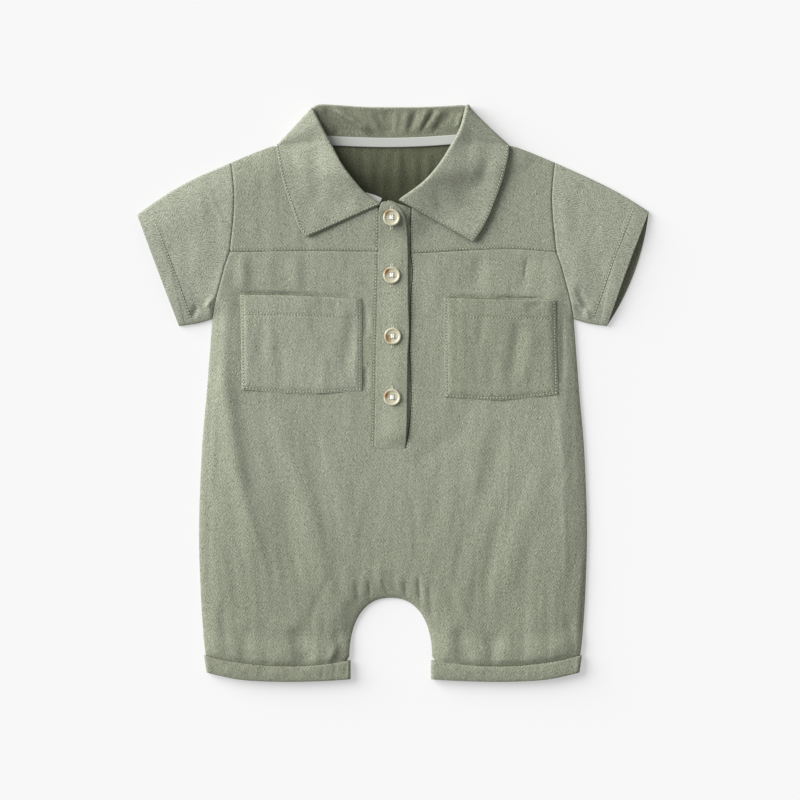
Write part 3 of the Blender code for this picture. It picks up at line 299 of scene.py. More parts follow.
POCKET_FOLDS = [
    (-27, 67, -37.5, 10, 5, -0.9), (-99, 60, -98.5, 20, 3.6, -0.45), (-85, 42, -82, 2, 4, -0.5),
    (-62, 68, -58, 40, 3.4, -0.35), (-54, 30, -50, 4, 4, 0.35), (97, 62, 87, 4, 5, -1.0),
    (66, 62, 65, 32, 3.6, -0.5), (76, 30, 73, 0, 4, -0.4), (106, 50, 99, 6, 5, 0.45),
    (53, 50, 56, 8, 4, 0.3), (112, 69, 99, 61, 3, -0.5), (-47, 69, -40, 58, 3, -0.4),
]

# ---------------------------------------------------------------- sewing, in mm
STITCH_PITCH, STITCH_LIFT = 2.3 * MM, 0.14 * MM
STITCH_SIZE = (1.6 * MM, 0.72 * MM, 0.6 * MM)  # length, width and height
# the pricks are dark bodies that paint the shade in the needle holes
PRICK_SIZE = (0.75 * MM, 0.75 * MM, 0.5 * MM)  # the needle's hole between two stitches
EDGE_STITCH = 1.6 * MM  # how far a row lies inside an edge
YOKE_STITCH = 1.3 * MM
PLACKET_STITCH = {LEFT: -1.6 * MM, RIGHT: 0.9 * MM}
GROOVE_DEPTH, GROOVE_WIDTH = 0.3 * MM, 0.75 * MM
ROW_DEPTH, THINNEST = 0.24 * MM, 0.05 * MM  # the same on each face of the collar, and what it leaves
DITCH_DEPTH, PANEL_DITCH_DEPTH, DITCH_WIDTH = 0.6 * MM, 0.3 * MM, 0.65 * MM  # a seam's valley
POCKET_HEM_DEPTH = {LEFT: 14.2 * MM, RIGHT: 13.6 * MM}
SLEEVE_HEM_DEPTH = {LEFT: 10.2 * MM, RIGHT: 11.6 * MM}

# ---------------------------------------------------------------- buttons, in mm
BUTTON_RADIUS, BUTTON_THICK, BUTTON_DISH = 6.4 * MM, 2.2 * MM, 0.7 * MM
BUTTON_RIM = 1.5 * MM
BUTTON_HOLE_RADIUS, BUTTON_HOLE_PITCH = 0.65 * MM, 2.8 * MM
BUTTON_PLACES = [(-1.0, 131.2), (-0.9, 88.3), (-0.2, 42.7), (-0.6, -3.1)]
BUTTONHOLE_LENGTH, BUTTONHOLE_WIDTH, BUTTONHOLE_PITCH = 17.0 * MM, 2.4 * MM, 0.45 * MM
BAR_SIZE = (BUTTONHOLE_WIDTH / 2, 0.42 * MM, 0.45 * MM)  # one stitch beside the buttonhole's slit
BUTTON_SIDES, HOLE_SIDES = 64, 24
HOLES = [(x * BUTTON_HOLE_PITCH / 2, y * BUTTON_HOLE_PITCH / 2) for x, y in CORNERS]
# threads over a button: how high each pair lies, how deep it dips into the holes, and what parts its two
THREAD_RISES, THREAD_DIP, THREAD_APART, THREAD_RADIUS = (0.28 * MM, 0.62 * MM), 0.9 * MM, 0.48 * MM, 0.3 * MM
# where a button's brown patch is, in button radii from its middle
HORN_PATCHES = [(-0.55, 0.75, 0), (-0.65, 0.55, 0), (-0.6, -0.25, 0), (-0.7, 0.35, 0)]

# ---------------------------------------------------------------- painted light and shade: how light the cloth is, beside the front's
# painted light and shade: whole pieces made lighter or darker as the light falls on them
PAINTED_PIECE_LIGHT = {"sleeve_left": 1.15, "sleeve_right": 1.1, "pocket_left": 1.06, "pocket_right": 0.9, "collar": 1.06,
         "cuff_left": 0.85, "cuff_right": 0.88, "placket_strip": 0.97}
# painted shade: the legs are made a little darker
LEG_DIM, LEG_DIM_Y, LEG_DIM_LENGTH = 0.12, -50 * MM, 110 * MM  # the legs are a little darker
# painted shade along a pocket's mouth
MOUTH_DARK, MOUTH_DARK_WIDTH = 0.5, 0.75 * MM  # the same along a pocket's mouth
# painted shade where the front goes in under a cuff
CUFF_DARK, CUFF_DARK_WIDTH = 0.4, 1.3 * MM
# painted shade: how dark the cloth is made inside the neck, from its top to its bottom, on the collar's
# stand, and inside a sleeve or a cuff
NECK_SHADE, STAND_SHADE, INNER_SHADE = (0.37, 0.22), 0.66, 0.68
NECK_SHADE_DEPTH = 44 * MM
# painted shade of the strip under each button
HOLE_SHADE, HOLE_SHADE_RADIUS = 0.25, 3.6 * MM  # of the strip where it shows through a button's holes
# painted shade beside the strip's edge, and painted light further off
UNDERLAP_SHADE, UNDERLAP_LIGHTER, UNDERLAP_SHADE_WIDTH = 0.95, 0.15, 2.2 * MM

# ---------------------------------------------------------------- floor and camera
FLOOR_SIZE, FLOOR_Z = 6.0, -0.25 * MM
WINDOW_BEARING, WINDOW_RISE, WINDOW_SPREAD = 152, 25, 50  # degrees; the bearing is counted from +X
WINDOW_ENERGY, ROOM_LIGHT = 6.05, 0.36
CAMERA_HEIGHT, VIEW_WIDTH, VIEW_CENTRE = 3.0, 0.6, (5.25 * MM, -5.06 * MM)

# ---------------------------------------------------------------- colours
SAGE_LIGHT, SAGE_DARK = (0.458, 0.484, 0.380, 1), (0.105, 0.114, 0.077, 1)
# the pricks' colour is painted shade
THREAD_COLOUR, PRICK_SHADE_COLOUR = (0.46, 0.49, 0.37, 1), (0.07, 0.08, 0.04, 1)
BUTTON_THREAD, BUTTONHOLE_THREAD = (0.90, 0.91, 0.90, 1), (0.56, 0.58, 0.48, 1)
TAPE_COLOUR, TAPE_DIM = (0.49, 0.50, 0.475, 1), 0.86  # between its twill lines it is dimmer
HORN_CREAM, HORN_BROWN = (0.50, 0.48, 0.35, 1), (0.30, 0.16, 0.05, 1)
FLOOR_COLOUR, FLOOR_GLOW = (0.45, 0.45, 0.45, 1), 0.41  # a light table, so that shadows on it stay pale

# ---------------------------------------------------------------- the weave, in cm and degrees
HATCH_TURN, TWILL_PITCH, STROKE_SIZE, PATCH_SIZE = 40, 0.18, (0.042, 0.2), (0.9, 1.6)
STREAK_SIZE, SPECKLE_SIZE, THREAD_SIZE = (0.16, 1.5), (0.04, 0.045), (0.04, 0.4)
# what the twill, the strokes, the streaks, the speckle and the warp give to the colour and to the height
COLOUR_SHARES, HEIGHT_SHARES = (0.24, 1.3, 0.25, 1.2, 0.6), (0.3, 1.7, 0.2, 1.2, 0.7)
# painted shade: how much faster blue goes where the shade attribute darkens the cloth
PAINTED_SHADE_BLUE_POWER = 1.2  # how much faster blue goes than the other colours where the cloth is darker
THREAD_GRAIN, TAPE_GRAIN = 900, 330  # noise cells of spun thread in a metre, and twill lines of the tape


# ---------------------------------------------------------------- plane geometry
def mirrored(points, side):
    return np.array(points, float) * (side * MM, MM)


def smooth(t):
    t = np.clip(t, 0, 1)
    return t * t * (3 - 2 * t)


def quarter_round(distance, radius):
    """0 at an edge, rising as a quarter circle to 1 at the radius."""
    return np.sqrt(1 - (1 - np.clip(distance / radius, 0, 1)) ** 2)


def spline(points, step=EDGE_STEP, count=None):
    """Points about one step apart on a smooth curve, or count of them between two given ones."""
    points = np.array(points, float)
    ends = np.vstack([2 * points[0] - points[1], points, 2 * points[-1] - points[-2]])
    found = []
    for a, b, c, d in zip(ends, ends[1:], ends[2:], ends[3:]):
        steps = count or max(1, round(float(np.linalg.norm(c - b)) / step))
        for t in np.arange(steps) / steps:
            curve = 2 * b + (c - a) * t + (2 * a - 5 * b + 4 * c - d) * t**2
            found.append(0.5 * (curve + (3 * b - a - 3 * c + d) * t**3))
    return np.array(found + [points[-1]])


def table_line(points, step=EDGE_STEP):
    return spline(np.array(points, float) * MM, step)


def straight(a, b, step=EDGE_STEP):
    """Points about one step apart from a to b."""
    count = max(1, round(float(np.linalg.norm(np.subtract(b, a))) / step))
    return np.linspace(a, b, count + 1)


def closed_loop(*edges):
    loop = np.vstack([edge[:-1] for edge in edges])
    x, y = loop.T
    area = np.sum(x * np.roll(y, -1) - y * np.roll(x, -1))
    return loop if area > 0 else loop[::-1]


def inset(loop, distance):
    before, after = loop - np.roll(loop, 1, 0), np.roll(loop, -1, 0) - loop
    before, after = (v / np.linalg.norm(v, axis=1)[:, None] for v in (before, after))
    normals = [np.stack([-v[:, 1], v[:, 0]], 1) for v in (before, after)]
    middle = normals[0] + normals[1]
    middle /= np.linalg.norm(middle, axis=1)[:, None]
    cosine = np.clip(np.sum(middle * normals[0], 1), 0.5, 1)
    return loop + middle * (distance / cosine)[:, None]


def beside(line, offset):
    """The line moved to its left."""
    along = np.gradient(line, axis=0)
    along /= np.linalg.norm(along, axis=1)[:, None]
    return line + np.stack([-along[:, 1], along[:, 0]], 1) * offset


def distance_to(x, y, line):
    """Distance from each point to an open line."""
    nearest = np.full(np.shape(x), np.inf)
    for (ax, ay), (bx, by) in zip(line, line[1:]):
        dx, dy = bx - ax, by - ay
        share = np.clip(((x - ax) * dx + (y - ay) * dy) / (dx * dx + dy * dy), 0, 1)
        nearest = np.minimum(nearest, (x - ax - share * dx) ** 2 + (y - ay - share * dy) ** 2)
    return np.sqrt(nearest)


def ring_of(loop):
    return np.vstack([loop, loop[:1]])


def is_inside(x, y, loop):
    inside = np.zeros(np.shape(x), bool)
    for (ax, ay), (bx, by) in zip(loop, np.roll(loop, -1, 0)):
        if ay != by:
            inside ^= ((ay > y) != (by > y)) & (x < ax + (y - ay) * (bx - ax) / (by - ay))
    return inside


def outside_by(x, y, loop):
    return np.where(is_inside(x, y, loop), 0, distance_to(x, y, ring_of(loop)))


def cell_value(i, j, seed):
    """A repeatable random number from -1 to 1 for each cell of a grid."""
    n = (i.astype(np.int64) * 73856093) ^ (j.astype(np.int64) * 19349663) ^ (seed * 83492791)
    n = (n ^ (n >> 13)) * 1274126177
    return ((n ^ (n >> 16)) & 0xFFFF) / 0x8000 - 1


def ripple(x, y, wide, tall, seed):
    """Smooth noise from -1 to 1, its bumps about this wide and tall."""
    u, v = x / wide, y / tall
    i, j = np.floor(u), np.floor(v)
    a, b = smooth(u - i), smooth(v - j)
    low = cell_value(i, j, seed) * (1 - a) + cell_value(i + 1, j, seed) * a
    high = cell_value(i, j + 1, seed) * (1 - a) + cell_value(i + 1, j + 1, seed) * a
    return low * (1 - b) + high * b


def crotch():
    turns = np.linspace(0, math.pi / 2, 40)
    x = CROTCH_HALF * np.cos(turns) ** (2 / CROTCH_POWER)
    y = CROTCH_TOP - CROTCH_DEEP * (1 - np.sin(turns) ** (2 / CROTCH_POWER))
    left = np.stack([CROTCH_X - x, y], 1)[1:]
    right = np.stack([CROTCH_X + x, y], 1)[1:]
    tucked = CROTCH_X - CROTCH_HALF - CUFF_TUCK, CROTCH_X + CROTCH_HALF + CUFF_TUCK
    foot = [[(x, HEM_INNER_Y), (x, CROTCH_FOOT)] for x in tucked]
    return np.vstack([foot[0], left, right[-2::-1], foot[1][::-1]])


def hem(side):
    return spline([*mirrored(HEM, side), (CROTCH_X + side * (CROTCH_HALF + CUFF_TUCK), HEM_INNER_Y)])


def yoke_seam(side):
    outer = (side * ARMHOLE_BODY[0][0], ARMHOLE_BODY[0][1])
    return table_line([PLACKET_SEAM[side][0], YOKE_SEAM_MIDDLE[side], outer])


def cuff_outline(side):
    inner = CROTCH_X + side * (CROTCH_HALF - CUFF_OVERHANG)
    top = [*mirrored(CUFF_TOP, side), (inner, CUFF_INNER_TOP_Y)]
    bottom = [*mirrored(CUFF_BOTTOM, side), (inner, CUFF_INNER_BOTTOM_Y)]
    return np.array(top), np.array(bottom)


def collar_points(rows, first):
    return [(row[first], row[first + 1]) for row in rows]


# ---------------------------------------------------------------- heights of the layers
BACK_ROWS = [COLLAR_CREASE[LEFT], *COLLAR_BACK, COLLAR_CREASE[RIGHT]]
UNDER_FALL = np.array(collar_points(BACK_ROWS, 0)[::-1] + collar_points(BACK_ROWS, 2), float) * MM
NECK_HOLE = collar_points([*COLLAR_LEFT, COLLAR_CREASE[LEFT]], 0)
NECK_HOLE += collar_points([*COLLAR_RIGHT, COLLAR_CREASE[RIGHT]], 0)[::-1]
NECK_HOLE = np.array(NECK_HOLE, float) * MM
CUFF_ZONES = [np.vstack([top, bottom[::-1]]) for top, bottom in map(cuff_outline, (LEFT, RIGHT))]
SHOULDER_LINES = [np.vstack([mirrored(SHOULDER, s), mirrored(SLEEVE_TOP[s], s)[1:]]) for s in (LEFT, RIGHT)]
UNDER_LINES = [np.vstack([mirrored(SLEEVE_UNDER, s)[::-1], mirrored(SIDE, s)[1:]]) for s in (LEFT, RIGHT)]
CREASE_LINES = [np.array(SIDE_CREASE[side], float) * MM for side in (LEFT, RIGHT)]
CREASED_EDGES = [crotch()[::3], *SHOULDER_LINES, *UNDER_LINES, *CREASE_LINES]
COARSE = 5 * MM  # spacing of the points of a line that only distances are measured to
CLOSED_EDGES = [crotch()]
CLOSED_EDGES += [spline(mirrored(points, s), COARSE) for s in (LEFT, RIGHT) for points in (SIDE, SHOULDER)]
ARMHOLE_SEAMS = {s: spline(mirrored(ARMHOLE, s), COARSE) for s in (LEFT, RIGHT)}
PANEL_SEAMS = [np.vstack([yoke_seam(s)[:-1:4], yoke_seam(s)[-1:]]) for s in (LEFT, RIGHT)]
PANEL_SEAMS += [table_line(PLACKET_YOKE_SEAM[s][:-1] + PLACKET_SEAM[s], COARSE) for s in (LEFT, RIGHT)]


def folds(x, y, rows):
    total = np.zeros_like(x)
    for row in rows:
        fold = dict(zip(FOLD_COLUMNS, np.array(row, float) * MM))
        start = np.array([fold["from_x"], fold["from_y"]])
        along = np.array([fold["to_x"], fold["to_y"]]) - start
        share = ((x - start[0]) * along[0] + (y - start[1]) * along[1]) / (along @ along)
        across = ((x - start[0]) * along[1] - (y - start[1]) * along[0]) / np.linalg.norm(along)
        ends = smooth(share / 0.3) * smooth((1 - share) / 0.3)
        total += fold["height"] * ends * np.exp(-((across / fold["width"]) ** 2))
    return total


def back_lift(x, y):
    zones = [outside_by(x, y, zone) for zone in [UNDER_FALL, *CUFF_ZONES]]
    return LAYER * (1 - smooth((np.min(zones, 0) - LEVEL) / RAMP))


def edge_fade(x, y, reach=LOFT_REACH):
    distance = np.min([distance_to(x, y, line) for line in CREASED_EDGES], 0)
    return 1 - (1 - np.clip(distance / reach, 0, 1)) ** 2


def front_under(x, y):
    """Height of the underside of the front layer."""
    near_neck = 1 - smooth((outside_by(x, y, NECK_HOLE) - NECK_CLEAR) / NECK_REACH)
    rise = near_neck * (LAYER + NECK_RISE * smooth((NECK_FLAT_Y - y) / NECK_SLOPE))
    full = LOFT * edge_fade(x, y) + FOLD_FULLNESS * folds(x, y, FRONT_FOLDS) * edge_fade(x, y, FOLD_FADE)
    cuffs = np.min([outside_by(x, y, zone) for zone in CUFF_ZONES], 0)
    full = full * (CUFF_PRESS + (1 - CUFF_PRESS) * smooth(cuffs / CUFF_PRESS_REACH))
    return back_lift(x, y) + LAYER + rise + np.maximum(full, 0)


def ripples(x, y, rows):
    """Smooth noise of several sizes, one for each row."""
    total = np.zeros_like(x)
    for row in rows:
        size = dict(zip(RIPPLE_COLUMNS, row))
        total += size["height"] * ripple(x, y, size["wide"] * MM, size["tall"] * MM, size["seed"])
    return total * MM


def crinkle(x, y):
    """Long soft waves, drawn together towards the crotch, and a finer crumple across them."""
    across = x / (1 - CRINKLE_FAN * smooth(y / CROTCH_TOP))
    return ripples(across, y, WAVES) + ripples(x + y * CRUMPLE_SLANT, y, CRUMPLE)


def front_face(x, y):
    """Height of the front layer's outer face, with its finer creases."""
    quiet = edge_fade(x, y, CRINKLE_FADE)
    return front_under(x, y) + CLOTH + (CREASE_FULLNESS * folds(x, y, CREASES) + crinkle(x, y)) * quiet


def grooves(x, y, lines, depth=GROOVE_DEPTH, width=GROOVE_WIDTH):
    """How far rows of stitches, or seams, draw the cloth down."""
    total = np.zeros_like(x)
    for line in lines:
        total = np.maximum(total, depth * np.exp(-((distance_to(x, y, line) / width) ** 2)))
    return total


def sewn_front(x, y):
    """The front layer's face, with its seams and with its closed edges bent down to the back."""
    z = front_face(x, y) - grooves(x, y, ARMHOLE_SEAMS.values(), DITCH_DEPTH, DITCH_WIDTH)
    z -= grooves(x, y, PANEL_SEAMS, PANEL_DITCH_DEPTH, DITCH_WIDTH)
    edge = np.min([distance_to(x, y, line) for line in CLOSED_EDGES], 0)
    low = FRONT_EDGE_Z + back_lift(x, y)
    return low + (z - low) * quarter_round(edge, SIDE_ROLL)


# ---------------------------------------------------------------- meshes
def lattice(loop, pitch, clear):
    low, high = loop.min(0), loop.max(0)
    row_height = pitch * math.sqrt(3) / 2
    found = []
    for row in range(math.floor(low[1] / row_height), math.ceil(high[1] / row_height) + 1):
        x = np.arange(math.floor(low[0] / pitch), math.ceil(high[0] / pitch) + 1) * pitch
        found.append(np.stack([x + pitch / 2 * (row % 2), np.full_like(x, row * row_height)], 1))
    found = np.vstack(found)
    x, y = found.T
    return found[is_inside(x, y, loop) & (distance_to(x, y, ring_of(loop)) > clear)]


def cloth_points(loop, pitch, lines, fine):
    """Points inside a panel's loop: rings along its edge, rows along its stitch lines, then a lattice."""
    near = []
    for depth in EDGE_RINGS:
        ring = inset(loop, depth)
        near.append(ring[distance_to(*ring.T, ring_of(loop)) > depth * 0.93])
    for line in lines:
        rows = np.vstack([beside(line, offset) for offset in LINE_OFFSETS])
        clear = distance_to(*rows.T, ring_of(loop)) > EDGE_RINGS[1]
        near.append(rows[clear & is_inside(*rows.T, loop)])
    inner = lattice(loop, pitch, EDGE_RINGS[-1] + min(pitch, PITCH) * 0.6)
    if fine is not None:
        close = lattice(loop, PITCH, EDGE_RINGS[-1] + PITCH * 0.6)
        inner = np.vstack([inner[~fine(*inner.T)], close[fine(*close.T)]])
    for line in lines:
        inner = inner[distance_to(*inner.T, line) > LINE_OFFSETS[-1] + PITCH * 0.4]
    return np.vstack(near + [inner])


def with_shade(mesh, values, node):
    """Painted light and shade of the cloth at each point: its piece's painted tone, and painted shade where
    little light comes.
    """
    layer = mesh.attributes.new("shade", "FLOAT", "POINT")
    layer.data.foreach_set("value", np.array(values * PAINTED_PIECE_LIGHT.get(node, 1), np.float32))


def show(name, mesh, material, node=None):
    """A finished piece: it rides on the garment's body and stands for its node."""
    mesh.materials.clear()
    mesh.materials.append(material)
    piece = bpy.data.objects.new(name, mesh)
    bpy.context.scene.collection.objects.link(piece)
    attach(piece, "root")
    if node:
        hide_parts(node)
    return piece


def with_uv(mesh, points):
    """A flat pattern map along the cloth's grain, one unit for each centimetre."""
    corner = np.empty(len(mesh.loops), np.int32)
    mesh.loops.foreach_get("vertex_index", corner)
    layer = mesh.uv_layers.new(name="grain")
    layer.data.foreach_set("uv", (points[corner] * 100).ravel())


def cloth_piece(name, node, loop, face, material, pitch=PITCH, lines=(), fine=None,
                rounding=SEWN_ROUND, shade=None):
    """A thin shell of cloth cut to a loop, its outer face at the height that face gives."""
    loop = inset(loop, SEWN_TUCK)
    points = np.vstack([loop, cloth_points(loop, pitch, lines, fine)])
    flat, _, faces, *_ = delaunay_2d_cdt([Vector(p) for p in points], [], [list(range(len(loop)))], 1, 1e-8)
    flat = np.array(flat)
    x, y = flat.T
    edge = distance_to(x, y, ring_of(loop))
    edge[edge < 1e-6] = 0
    z = face(x, y)
    spare = SHELL * (1 - quarter_round(edge, rounding)) / 2
    inside = np.flatnonzero(edge > 0)
    under = np.arange(len(flat))
    under[inside] = len(flat) + np.arange(len(inside))
    top = np.column_stack([flat, z - spare])
    low = np.column_stack([flat, z - SHELL + spare])[inside]
    verts = np.vstack([top, low])
    faces = [list(f) for f in faces]
    mesh = bpy.data.meshes.new(name)
    mesh.from_pydata(verts.tolist(), [], faces + [[int(under[i]) for i in f[::-1]] for f in faces])
    with_uv(mesh, verts[:, :2])
    outer = shade(x, y) if shade else np.ones(len(flat))
    with_shade(mesh, np.concatenate([outer, np.ones(len(inside))]), node)
    mesh.shade_smooth()
    return show(name, mesh, material, node)


def closed_mesh(name, node, verts, faces, uv, shade):
    """A smooth closed mesh with its faces outward."""
    mesh = bpy.data.meshes.new(name)
    mesh.from_pydata(verts.tolist(), [], faces.tolist())
    bm = bmesh.new()
    bm.from_mesh(mesh)
    bmesh.ops.recalc_face_normals(bm, faces=bm.faces)
    bm.to_mesh(mesh)
    bm.free()
    with_uv(mesh, uv)
    with_shade(mesh, shade, node)
    mesh.shade_smooth()
    return mesh


def lofted(name, node, rings, material, uv, shade):
    """A closed surface from closed rings of points, the last joined to the first."""
    rings = np.array(rings)
    index = np.arange(rings.shape[0] * rings.shape[1]).reshape(rings.shape[:2])
    after, next_one = np.roll(index, -1, 0), np.roll(index, -1, 1)
    quads = np.stack([index, next_one, np.roll(after, -1, 1), after], -1).reshape(-1, 4)
    shade = np.repeat(shade, rings.shape[1])
    mesh = closed_mesh(name, node, rings.reshape(-1, 3), quads, np.asarray(uv).reshape(-1, 2), shade)
    return show(name, mesh, material, node)


# ---------------------------------------------------------------- flattened tubes
def at_share(line, share):
    steps = np.linalg.norm(np.diff(line, axis=0), axis=1)
    travelled = np.concatenate([[0], np.cumsum(steps)]) / steps.sum()
    return np.stack([np.interp(share, travelled, line[:, k]) for k in (0, 1)], -1)


def tube_shares(width):
    """Shares of the way across a flattened tube, close together at its tips."""
    tips = TIP_STEPS / width
    middle = np.linspace(tips[-1], 1 - tips[-1], max(4, round(width / SLEEVE_PITCH)))[1:-1]
    return np.concatenate([[0], tips, middle, 1 - tips[::-1], [1]])


def middle_of(line):
    return line[len(line) // 2]


def tube_plan(lines, s, w):
    """Where a tube is in plan, at a share of its length and at shares of the way across it."""
    start, end, upper, lower = lines
    a, b = at_share(start, w), at_share(end, w)
    u, v = at_share(upper, s), at_share(lower, s)
    w = w[:, None]
    straight_start = (1 - w) * start[0] + w * start[-1]
    straight_end = (1 - w) * end[0] + w * end[-1]
    return (1 - s) * (a - straight_start) + s * (b - straight_end) + (1 - w) * u + w * v


def tube_rings(lines, lengths, inward, top_of, gape):
    """Rings of a flattened tube that lies on the ground, at shares of its length and so far inside it."""
    start, end = lines[:2]
    outwards = middle_of(end) - middle_of(start)
    outwards = outwards / np.linalg.norm(outwards)
    shares = tube_shares(np.linalg.norm(end[0] - end[-1]))
    rings = []
    for s in lengths:
        tips = tube_plan(lines, s, np.array([0.0, 1.0]))
        width = np.linalg.norm(tips[0] - tips[1])
        ring = []
        for part, sign, shift in ((shares, 1, 0.0), (shares[-2:0:-1], -1, gape)):
            at = tube_plan(lines, s, inward / width + part * (1 - 2 * inward / width))
            high = top_of(at[:, 0], at[:, 1], s) - inward
            half = (high - inward) / 2
            bend = quarter_round(np.minimum(part, 1 - part) * width, np.minimum(half * 1.15, TUBE_ROUND))
            moved = at + outwards * (shift * s**3 * 4 * part * (1 - part))[:, None]
            ring.append(np.column_stack([moved, inward + half + sign * half * bend]))
        rings.append(np.vstack(ring))
    return rings


def tube_piece(name, node, lines, lengths, top_of, material, gape, grain, sewn_bulge):
    """A tube with a wall. Its ends are rounded between the outer and the inner face."""
    bend = [0.5 - 0.5 * math.cos(math.pi * k / 4) for k in range(1, 4)]
    outer, inner = (tube_rings(lines, lengths, inward, top_of, gape) for inward in (0, SHELL))
    step = middle_of(lines[1]) - middle_of(lines[0])
    step = np.append(step / np.linalg.norm(step), 0) * SHELL / 2

    def rounded(a, b, way):
        return [a + (b - a) * k + step * way * math.sqrt(1 - (2 * k - 1) ** 2) for k in bend]

    rings = outer + rounded(outer[-1], inner[-1], 1) + inner[::-1] + rounded(inner[0], outer[0], -sewn_bulge)
    # painted shade inside the tube and round its ends
    shade = [1] * len(outer) + [1, 0.9, 0.7] + [INNER_SHADE] * len(inner) + [0.7, 0.9, 1]
    uv = [ring[:, :2] for ring in rings]
    c, s = math.cos(grain), math.sin(grain)
    uv = [np.stack([p[:, 0] * c + p[:, 1] * s, p[:, 1] * c - p[:, 0] * s], 1) for p in uv]
    return lofted(name, node, rings, material, uv, shade)


# ---------------------------------------------------------------- pieces of the garment
def back_face(x, y):
    """The back's inner face, with its folds at the neck and its closed edges bent up a little."""
    near = smooth((y - NECK_BOTTOM) / (16 * MM)) * smooth((NECK_HALF - np.abs(x)) / (10 * MM))
    rise = folds(x, y, BACK_FOLDS) + near * ripples(x, y, BACK_CRUMPLE)
    edge = np.min([distance_to(x, y, line) for line in CLOSED_EDGES], 0)
    curl = (BACK_EDGE_Z - SHELL / 2) * (1 - quarter_round(edge, BACK_CURL))
    return back_lift(x, y) + SHELL + np.maximum(rise, 0) + curl


def back_shade(x, y):
    """Painted shade: the back's inner face is darker in the neck, most of all towards the bottom of its V."""
    deep = smooth((NECK_FLAT_Y - y) / NECK_SHADE_DEPTH)
    return np.where(neck_area(x, y), NECK_SHADE[0] + (NECK_SHADE[1] - NECK_SHADE[0]) * deep, 1)


def neck_area(x, y):
    return (np.abs(x) < NECK_HALF) & (y > NECK_BOTTOM)


def front_shade(x, y):
    """Painted shade on the front: darker where a pocket's mouth stands off it, where it goes in under a cuff,
    and a little down the legs.
    """
    dark = np.zeros_like(x)
    for side in (LEFT, RIGHT):
        mouth = spline(np.array(POCKETS[side][:3], float) * MM, COARSE)
        held = smooth((x - mouth[0][0]) / (8 * MM)) * smooth((mouth[-1][0] - x) / (50 * MM))
        near = grooves(x, y, [mouth + (0, 0.5 * MM)], MOUTH_DARK, MOUTH_DARK_WIDTH)
        dark = np.maximum(dark, near * (0.25 + 0.75 * held))
        cuff = spline(mirrored(CUFF_TOP, side), COARSE)
        dark = np.maximum(dark, grooves(x, y, [cuff], CUFF_DARK, CUFF_DARK_WIDTH))
    return (1 - dark) * (1 - LEG_DIM * smooth((LEG_DIM_Y - y) / LEG_DIM_LENGTH))


def back_loop():
    edges = [spline(mirrored(NECKLINE_BACK, RIGHT))]
    edges += [spline(mirrored(points, RIGHT)) for points in (SHOULDER, ARMHOLE, SIDE)]
    edges += [hem(RIGHT), crotch()[::-1], hem(LEFT)[::-1]]
    edges += [spline(mirrored(points, LEFT))[::-1] for points in (SIDE, ARMHOLE, SHOULDER, NECKLINE_BACK)]
    return closed_loop(*edges)


def front_loop():
    slit = [table_line(PLACKET_SEAM[side]) for side in (LEFT, RIGHT)]
    foot = straight(slit[0][-1], slit[1][-1])
    edges = [yoke_seam(LEFT)[::-1], slit[0], foot, slit[1][::-1], yoke_seam(RIGHT)]
    edges += [spline(mirrored(points, RIGHT)) for points in (ARMHOLE_BODY, SIDE)]
    edges += [hem(RIGHT), crotch()[::-1], hem(LEFT)[::-1]]
    edges += [spline(mirrored(points, LEFT))[::-1] for points in (SIDE, ARMHOLE_BODY)]
    return closed_loop(*edges)


def yoke_loop(side):
    neckline = table_line(NECKLINE[side] + PLACKET_YOKE_SEAM[side][:1])
    placket = table_line(PLACKET_YOKE_SEAM[side])
    armhole, shoulder = spline(mirrored(ARMHOLE_YOKE, side)), spline(mirrored(SHOULDER, side))
    return closed_loop(neckline, placket, yoke_seam(side), armhole[::-1], shoulder[::-1])


def pocket_loop(side):
    corners = np.array(POCKETS[side], float) * MM
    mouth, base = spline(corners[:3]), spline(corners[3:])
    return closed_loop(mouth, spline(corners[2:4]), base, spline(corners[[5, 0]]))


def strip_loop():
    left = table_line(PLACKET_SEAM[LEFT])
    upper = table_line([STRIP_TOP[-1], STRIP_YOKE_CORNER])
    right, top = table_line(STRIP_RIGHT), table_line(STRIP_TOP)
    left[0] = upper[-1]
    return inset(closed_loop(left, straight(left[-1], right[0]), right, top, upper), -STRIP_LAP)


def underlap_loop():
    seam = table_line(PLACKET_SEAM[RIGHT])
    seam = seam[seam[:, 1] > UNDERLAP_BOTTOM]
    yoke = table_line(PLACKET_YOKE_SEAM[RIGHT][1:])
    top = table_line(UNDERLAP_TOP)
    corner = (seam[-1][0], UNDERLAP_BOTTOM)
    foot = straight(corner, (UNDERLAP_LEFT, UNDERLAP_BOTTOM))
    left = straight(foot[-1], (UNDERLAP_LEFT, UNDERLAP_SHOULDER))
    edges = [top, np.vstack([top[-1], yoke[0]]), yoke, seam, np.vstack([seam[-1], foot[0]]), foot, left]
    return inset(closed_loop(*edges, straight(left[-1], top[0])), SEAM)


def strip_face(x, y):
    """The button strip lies on the underlap, its free edge a little open between the buttons."""
    seam = table_line(PLACKET_SEAM[LEFT], 10 * MM)
    left = np.interp(y, seam[::-1, 1], seam[::-1, 0])
    free = np.maximum(smooth((x - left) / STRIP_SEWN), smooth((y - STRIP_FREE_Y) / STRIP_FREE_RAMP))
    foot = PLACKET_SEAM[LEFT][-1][1] * MM
    held = smooth((y - foot) / STRIP_HELD)
    between = np.min([np.abs(y - button_y * MM) for _, button_y in BUTTON_PLACES], 0) / BUTTON_HALF_WAY
    gape = STRIP_GAPE * smooth(between) * smooth((x - left) / STRIP_GAPE_WIDTH) * held
    return front_under(x, y) + CLOTH + 0.5 * crinkle(x, y) + (CLOTH + REST) * free * held + gape


